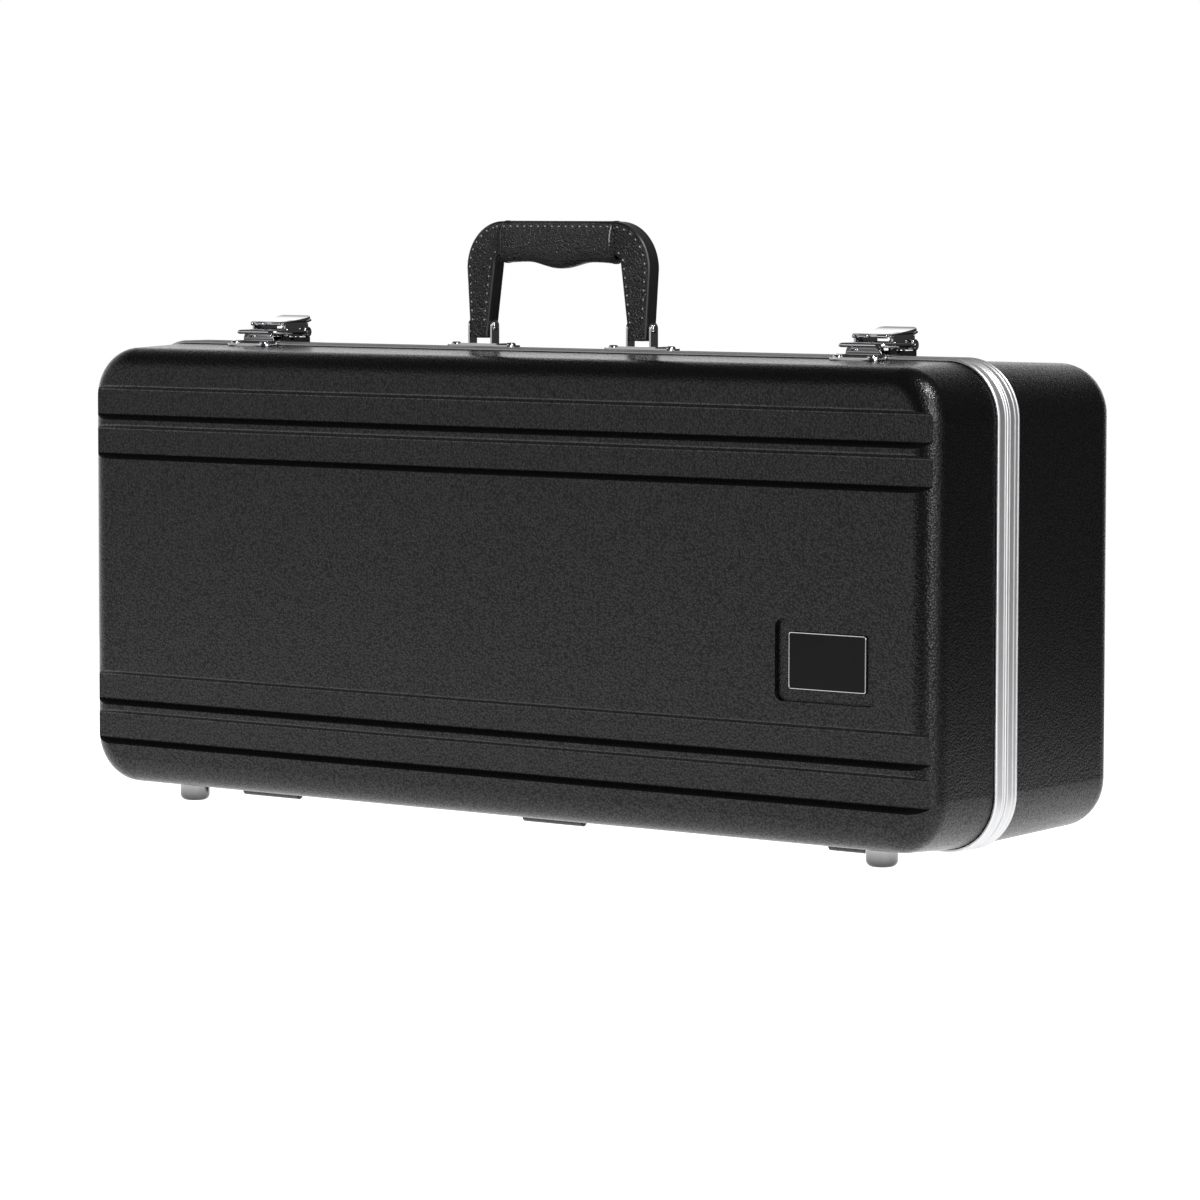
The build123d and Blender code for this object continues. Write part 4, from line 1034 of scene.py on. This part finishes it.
class CASE_OT_lining(bpy.types.Operator):
    """Form the plush lining of both halves, with its recesses"""

    bl_idname = "sax_case.lining"
    bl_label = "Lining"

    def execute(self, context):
        # In mm: the wells' outlines as (centre, half size, corner) from the pad's middle, and their depths
        horn = self.capsule((-205.0, 34.0), 80.0, (233.0, 56.0), 54.0)
        accessories = self.pocket((-188.0, -90.0), (100.0, 28.0), 14.0)
        neck = self.pocket((42.0, -90.0), (105.0, 28.0), 14.0)
        mouthpiece = self.pocket((228.0, -90.0), (59.0, 28.0), 14.0)
        cover = self.pocket((0.0, 0.0), (280.0, 100.0), 40.0)
        base_wells = [(horn, 92.5), (accessories, 78.0), (neck, 60.0), (mouthpiece, 44.0)]
        self.add_pad("base_lining", "base", 1, "base_liner", base_wells, 2.0)
        self.add_pad("lid_lining", "lid", -1, "lid_liner", [(cover, 44.5)], 2.4)
        return {"FINISHED"}

    def pocket(self, centre, half, corner):
        """Distance outside a rounded box: |max(|p - c| - (h - r), 0)| - r, less inside."""

        def distance(x, z):
            dx = np.abs(x - centre[0]) - (half[0] - corner)
            dz = np.abs(z + centre[1]) - (half[1] - corner)
            return np.hypot(np.maximum(dx, 0), np.maximum(dz, 0)) + np.minimum(np.maximum(dx, dz), 0) - corner

        return distance

    def capsule(self, start, first, end, second):
        """Distance outside a tapered capsule: the circles (start, first) and (end, second) in one hull."""
        run = np.array([end[0] - start[0], -end[1] + start[1]])
        length = np.linalg.norm(run)
        lean = (first - second) / length
        ahead = run / length

        def distance(x, z):
            px, pz = x - start[0], z + start[1]
            along = px * ahead[0] + pz * ahead[1]
            across = np.abs(px * ahead[1] - pz * ahead[0])
            cosine = math.sqrt(1 - lean * lean)
            t = np.clip((along + across * lean / cosine) / length, 0, 1)
            return np.hypot(along - t * length, across) - (first + (second - first) * t)

        return distance

    def face_depth(self, x, z, inset, wells):
        """How far the face lies behind the rim, in mm, quilted by a low product of two sines.

        It rolls off at the pad's edge and falls into each well by a smooth step 3 t^2 - 2 t^3 of the distance
        to the well's outline, with a raised, stuffed welt along that outline.
        """
        edge_run, edge_fall, rest_depth = 7.0, 4.5, 0.6
        lip, slope_run = 5.0, 11.0
        welt_height, welt_place, welt_width = 0.9, 6.5, 3.0
        roll = np.clip(1 - inset / edge_run, 0, 1)
        depth = edge_fall * (1 - np.sqrt(np.maximum(1 - roll**2, 0))) + rest_depth
        for distance, well in wells:
            d = distance(x, z)
            t = np.clip((lip - d) / slope_run, 0, 1)
            welt = welt_height * np.exp(-(((d - welt_place) / welt_width) ** 2))
            depth = np.maximum(depth - welt, well * t * t * (3 - 2 * t))
        return depth + 0.14 * np.sin(x / 17.0) * np.sin(z / 13.0)

    def add_pad(self, name, body, side, node, wells, sag):
        """A pad that fills a half: rings over its plan, folded down at the edge to a closed back.

        The wall leans in, is hollowed by half a sine wave over its depth, and tucks in at the back.
        """
        corner, back_wall, first_fall = 27.0 * MM, 4.0, 5.4
        low, high = (np.array(c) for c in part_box(node))
        half = np.array([high[0] - low[0], high[2] - low[2]]) / 2
        middle = np.array([(low[0] + high[0]) / 2, (low[2] + high[2]) / 2])
        face_y, back_y = (low[1], high[1]) if side > 0 else (high[1], low[1])
        thick = abs(back_y - face_y) / MM
        turns, normals = rounded_path(half - 0.5 * MM, corner, 120, 16)
        shares = np.concatenate([np.linspace(0.0, 0.96, 150), np.linspace(0.965, 1.0, 10)])
        plan = turns[None, :, :] * shares[:, None, None]
        x, z = plan[..., 0] / MM, plan[..., 1] / MM
        inset = (1 - shares)[:, None] * np.hypot(turns[:, 0], turns[:, 1])[None, :] / MM
        depth = np.clip(self.face_depth(x, z, inset, wells), 0.3, thick - back_wall)
        top = np.zeros(plan.shape[:2] + (3,))
        top[..., 0] = middle[0] + plan[..., 0]
        top[..., 2] = middle[1] + plan[..., 1]
        top[..., 1] = face_y + side * depth * MM
        rings = [top]
        slope = math.tan(math.radians(2.0 if side > 0 else 2.4))
        for share in (0.12, 0.3, 0.5, 0.7, 0.88, 0.97, 1.0):
            fall = share * (thick - 1.0)
            hollow = sag * math.sin(math.pi * share)
            tuck = 6.0 * max(0.0, (share - 0.88) / 0.12) ** 2
            draw = slope * fall + hollow + tuck
            ring = np.zeros((1, len(turns), 3))
            spot = turns - normals * draw * MM
            ring[0, :, 0] = middle[0] + spot[:, 0]
            ring[0, :, 2] = middle[1] + spot[:, 1]
            ring[0, :, 1] = face_y + side * max(fall, first_fall) * MM
            rings.append(ring)
        last = rings[-1]
        centre = last.mean(1, keepdims=True)
        rings += [centre + (last - centre) * share for share in (0.6, 0.2, 0.001)]
        pad = grid_mesh(name, np.concatenate(rings), close_v=True)
        paint([pad], materials["plush"])
        outward(pad)
        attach(pad, body)
        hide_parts(node)


class CASE_OT_stage(bpy.types.Operator):
    """Add the floor, the lamps, the world and the camera"""

    bl_idname = "sax_case.stage"
    bl_label = "Stage"

    def execute(self, context):
        settings = context.scene.case_stage
        self.add_floor(settings)
        self.add_lamps(settings)
        self.add_world(settings)
        self.add_camera(context.scene)
        context.scene.view_settings.view_transform = "Standard"
        return {"FINISHED"}

    def add_floor(self, settings):
        """A disc on the ground, drawn as rings: white where it is seen, with the object's shadow kept.

        In reflections it glows less and less towards the back right, and towards the front right.
        """
        turns = np.linspace(0.0, 2 * math.pi, 97)[:-1]
        radii = np.array([0.0, 0.3, 0.6, 0.9, 1.2, 1.45])
        points = np.zeros((len(radii), len(turns), 3))
        points[..., 0] = radii[:, None] * np.cos(turns)
        points[..., 1] = radii[:, None] * np.sin(turns)
        floor = grid_mesh("floor", points, close_v=True)
        material, tree, shader = new_material("floor_white")
        shader.inputs["Base Color"].default_value = (*settings.floor, 1.0)
        shader.inputs["Roughness"].default_value = 0.9
        shader.inputs["Specular IOR Level"].default_value = 0.0
        glow = tree.nodes.new("ShaderNodeEmission")
        fades = []
        for direction, start, end in (((0.63, 0.78, 0.0), 0.9, 0.1), ((0.9, -0.43, 0.0), 0.75, 0.4)):
            reach = tree.nodes.new("ShaderNodeVectorMath")
            reach.operation = "DOT_PRODUCT"
            tree.links.new(object_vector(tree), reach.inputs[0])
            reach.inputs[1].default_value = direction
            fades.append(self.ramp(tree, reach.outputs["Value"], start, end))
        path = tree.nodes.new("ShaderNodeLightPath")
        mirrored = math_node(tree, "MULTIPLY", math_node(tree, "MULTIPLY", *fades), 1.45)
        shown = math_node(tree, "MULTIPLY", path.outputs["Is Camera Ray"], 0.88)
        tree.links.new(math_node(tree, "MAXIMUM", mirrored, shown), glow.inputs["Strength"])
        soft = tree.nodes.new("ShaderNodeBsdfDiffuse")
        soft.inputs["Color"].default_value = (0.3, 0.3, 0.3, 1.0)
        both = tree.nodes.new("ShaderNodeAddShader")
        tree.links.new(glow.outputs[0], both.inputs[0])
        tree.links.new(soft.outputs[0], both.inputs[1])
        choice = tree.nodes.new("ShaderNodeMixShader")
        tree.links.new(self.seen_ray(tree), choice.inputs[0])
        tree.links.new(shader.outputs[0], choice.inputs[1])
        tree.links.new(both.outputs[0], choice.inputs[2])
        out = next(node for node in tree.nodes if node.bl_idname == "ShaderNodeOutputMaterial")
        tree.links.new(choice.outputs[0], out.inputs["Surface"])
        paint([floor], material)

    def seen_ray(self, tree):
        """1 on camera, glossy and transmission rays, 0 on the rest."""
        path = tree.nodes.new("ShaderNodeLightPath")
        seen = math_node(tree, "MAXIMUM", path.outputs["Is Camera Ray"], path.outputs["Is Glossy Ray"])
        return math_node(tree, "MAXIMUM", seen, path.outputs["Is Transmission Ray"])

    def add_lamps(self, settings):
        """A tall soft box at the right, a small one high over the right end, a weak one at the left."""
        for name, power, size, place, aim in (
            ("key_lamp", settings.key_power, (0.8, 2.0), (2.4, -1.5, 1.1), (0.1, 0.0, 0.15)),
            ("top_lamp", settings.top_power, (0.19, 0.19), (1.1, -0.2, 1.68), (0.31, -0.09, 0.27)),
            ("fill_lamp", settings.fill_power, (1.4, 1.0), (-1.6, -2.4, 0.9), (0.0, 0.0, 0.15)),
        ):
            lamp = bpy.data.lights.new(name, "AREA")
            lamp.shape = "RECTANGLE"
            lamp.size, lamp.size_y = size
            lamp.energy = power
            piece = bpy.data.objects.new(name, lamp)
            forward = np.array(aim) - np.array(place)
            piece.matrix_world = aimed_matrix(place, forward, 0.0)
            bpy.context.scene.collection.objects.link(piece)

    def add_world(self, settings):
        """White to the camera. In reflections it is a room: bright at the left, the right and behind left.

        Its brightness is a ramp over the compass bearing, multiplied by a ramp over the direction's height.
        A taller patch stands at the right, and the brightness never falls under the ceiling's.
        """
        patch_bearing, patch_strength = 1.13, 1.5
        world = bpy.data.worlds.new("white_room")
        bpy.context.scene.world = world
        world.use_nodes = True
        tree = world.node_tree
        tree.nodes.clear()
        out = tree.nodes.new("ShaderNodeOutputWorld")
        background = tree.nodes.new("ShaderNodeBackground")
        direction = tree.nodes.new("ShaderNodeTexCoord").outputs["Generated"]
        split = tree.nodes.new("ShaderNodeSeparateXYZ")
        tree.links.new(direction, split.inputs[0])
        front = math_node(tree, "MULTIPLY", split.outputs["Y"], -1.0)
        bearing = math_node(tree, "ARCTAN2", split.outputs["X"], front)
        share = math_node(tree, "MULTIPLY_ADD", bearing, 1 / (2 * math.pi))
        share.node.inputs[2].default_value = 0.5
        walls = tree.nodes.new("ShaderNodeValToRGB")
        stops = walls.color_ramp
        for index, (degrees, value) in enumerate(WALLS):
            place = (degrees + 180.0) / 360.0
            stop = stops.elements[index] if index < 2 else stops.elements.new(place)
            stop.position = place
            stop.color = (value, value, value, 1.0)
        tree.links.new(share, walls.inputs[0])
        low = self.ramp(tree, split.outputs["Z"], 0.74, 0.1)
        lit = math_node(tree, "MULTIPLY", low, walls.outputs[0])
        aside = math_node(tree, "ABSOLUTE", math_node(tree, "SUBTRACT", bearing, patch_bearing))
        right = self.ramp(tree, aside, 0.45, 0.3)
        tall = math_node(tree, "MULTIPLY", right, self.ramp(tree, split.outputs["Z"], 0.96, 0.9))
        lit = math_node(tree, "MAXIMUM", lit, math_node(tree, "MULTIPLY", tall, patch_strength))
        glossy = math_node(tree, "MAXIMUM", lit, settings.ceiling)
        path = tree.nodes.new("ShaderNodeLightPath")
        plain = math_node(tree, "MAXIMUM", path.outputs["Is Camera Ray"], path.outputs["Is Transmission Ray"])
        reflected = math_node(tree, "MULTIPLY", path.outputs["Is Glossy Ray"], glossy)
        special = math_node(tree, "MAXIMUM", plain, path.outputs["Is Glossy Ray"])
        rest = math_node(tree, "SUBTRACT", 1.0, special)
        strength = math_node(tree, "MAXIMUM", plain, reflected)
        strength = math_node(tree, "ADD", strength, math_node(tree, "MULTIPLY", rest, settings.ambient))
        tree.links.new(strength, background.inputs["Strength"])
        background.inputs["Color"].default_value = (1.0, 1.0, 1.0, 1.0)
        tree.links.new(background.outputs[0], out.inputs["Surface"])

    def ramp(self, tree, value, start, end):
        """0 at start and 1 at end, eased between them."""
        node = tree.nodes.new("ShaderNodeMapRange")
        node.interpolation_type = "SMOOTHSTEP"
        node.inputs["From Min"].default_value = min(start, end)
        node.inputs["From Max"].default_value = max(start, end)
        node.inputs["To Min"].default_value = 0.0 if start < end else 1.0
        node.inputs["To Max"].default_value = 1.0 if start < end else 0.0
        tree.links.new(value, node.inputs["Value"])
        return node.outputs["Result"]

    def add_camera(self, scene):
        """The photograph's own view: a long lens, a little above the case and to its right."""
        place = (1.9963, -2.4602, 0.3689)
        azimuth, elevation, roll = math.radians(38.86), math.radians(4.23), math.radians(0.11)
        camera = bpy.data.cameras.new("camera")
        camera.sensor_width = 36.0
        camera.lens = 158.64
        camera.clip_end = 100.0
        piece = bpy.data.objects.new("camera", camera)
        forward = (
            -math.sin(azimuth) * math.cos(elevation),
            math.cos(azimuth) * math.cos(elevation),
            -math.sin(elevation),
        )
        piece.matrix_world = aimed_matrix(place, forward, roll)
        scene.collection.objects.link(piece)
        scene.camera = piece


def aimed_matrix(place, forward, roll):
    """A placement that looks along forward with +Z up, turned by roll about its own axis."""
    back = -np.asarray(forward, float)
    back /= np.linalg.norm(back)
    right = np.cross((0.0, 0.0, 1.0), back)
    right /= np.linalg.norm(right)
    up = np.cross(back, right)
    turned_right = right * math.cos(roll) + up * math.sin(roll)
    turned_up = -right * math.sin(roll) + up * math.cos(roll)
    matrix = Matrix.Identity(4)
    for row in range(3):
        matrix[row][0] = turned_right[row]
        matrix[row][1] = turned_up[row]
        matrix[row][2] = back[row]
        matrix[row][3] = place[row]
    return matrix


class CASE_PT_panel(bpy.types.Panel):
    """Lists the case's operators and settings"""

    bl_idname = "CASE_PT_panel"
    bl_label = "Saxophone Case"
    bl_space_type = "VIEW_3D"
    bl_region_type = "UI"
    bl_category = "Saxophone Case"

    def draw(self, context):
        layout = self.layout
        for operator in OPERATORS:
            layout.operator(operator.bl_idname)
        for label in SETTINGS:
            box = layout.box()
            group = getattr(context.scene, label)
            for prop in group.bl_rna.properties:
                if not prop.is_readonly and prop.identifier != "name":
                    box.prop(group, prop.identifier)


OPERATORS = (
    CASE_OT_materials,
    CASE_OT_shells,
    CASE_OT_rim,
    CASE_OT_fittings,
    CASE_OT_latches,
    CASE_OT_handle,
    CASE_OT_lining,
    CASE_OT_stage,
)
SETTINGS = {
    "case_shell": CaseShellSettings,
    "case_metal": CaseMetalSettings,
    "case_handle": CaseHandleSettings,
    "case_stage": CaseStageSettings,
}


def register():
    """Register every class and hang the settings on the scene."""
    for group in SETTINGS.values():
        bpy.utils.register_class(group)
    for operator in OPERATORS:
        bpy.utils.register_class(operator)
    bpy.utils.register_class(CASE_PT_panel)
    for label, group in SETTINGS.items():
        setattr(bpy.types.Scene, label, PointerProperty(type=group))


def unregister():
    """Undo register, in the opposite order."""
    for label in SETTINGS:
        delattr(bpy.types.Scene, label)
    bpy.utils.unregister_class(CASE_PT_panel)
    for operator in reversed(OPERATORS):
        bpy.utils.unregister_class(operator)
    for group in reversed(list(SETTINGS.values())):
        bpy.utils.unregister_class(group)


def main():
    register()
    bpy.ops.sax_case.materials()
    bpy.ops.sax_case.shells()
    bpy.ops.sax_case.rim()
    bpy.ops.sax_case.fittings()
    bpy.ops.sax_case.latches()
    bpy.ops.sax_case.handle()
    bpy.ops.sax_case.lining()
    bpy.ops.sax_case.stage()


if __name__ == "__main__":
    main()
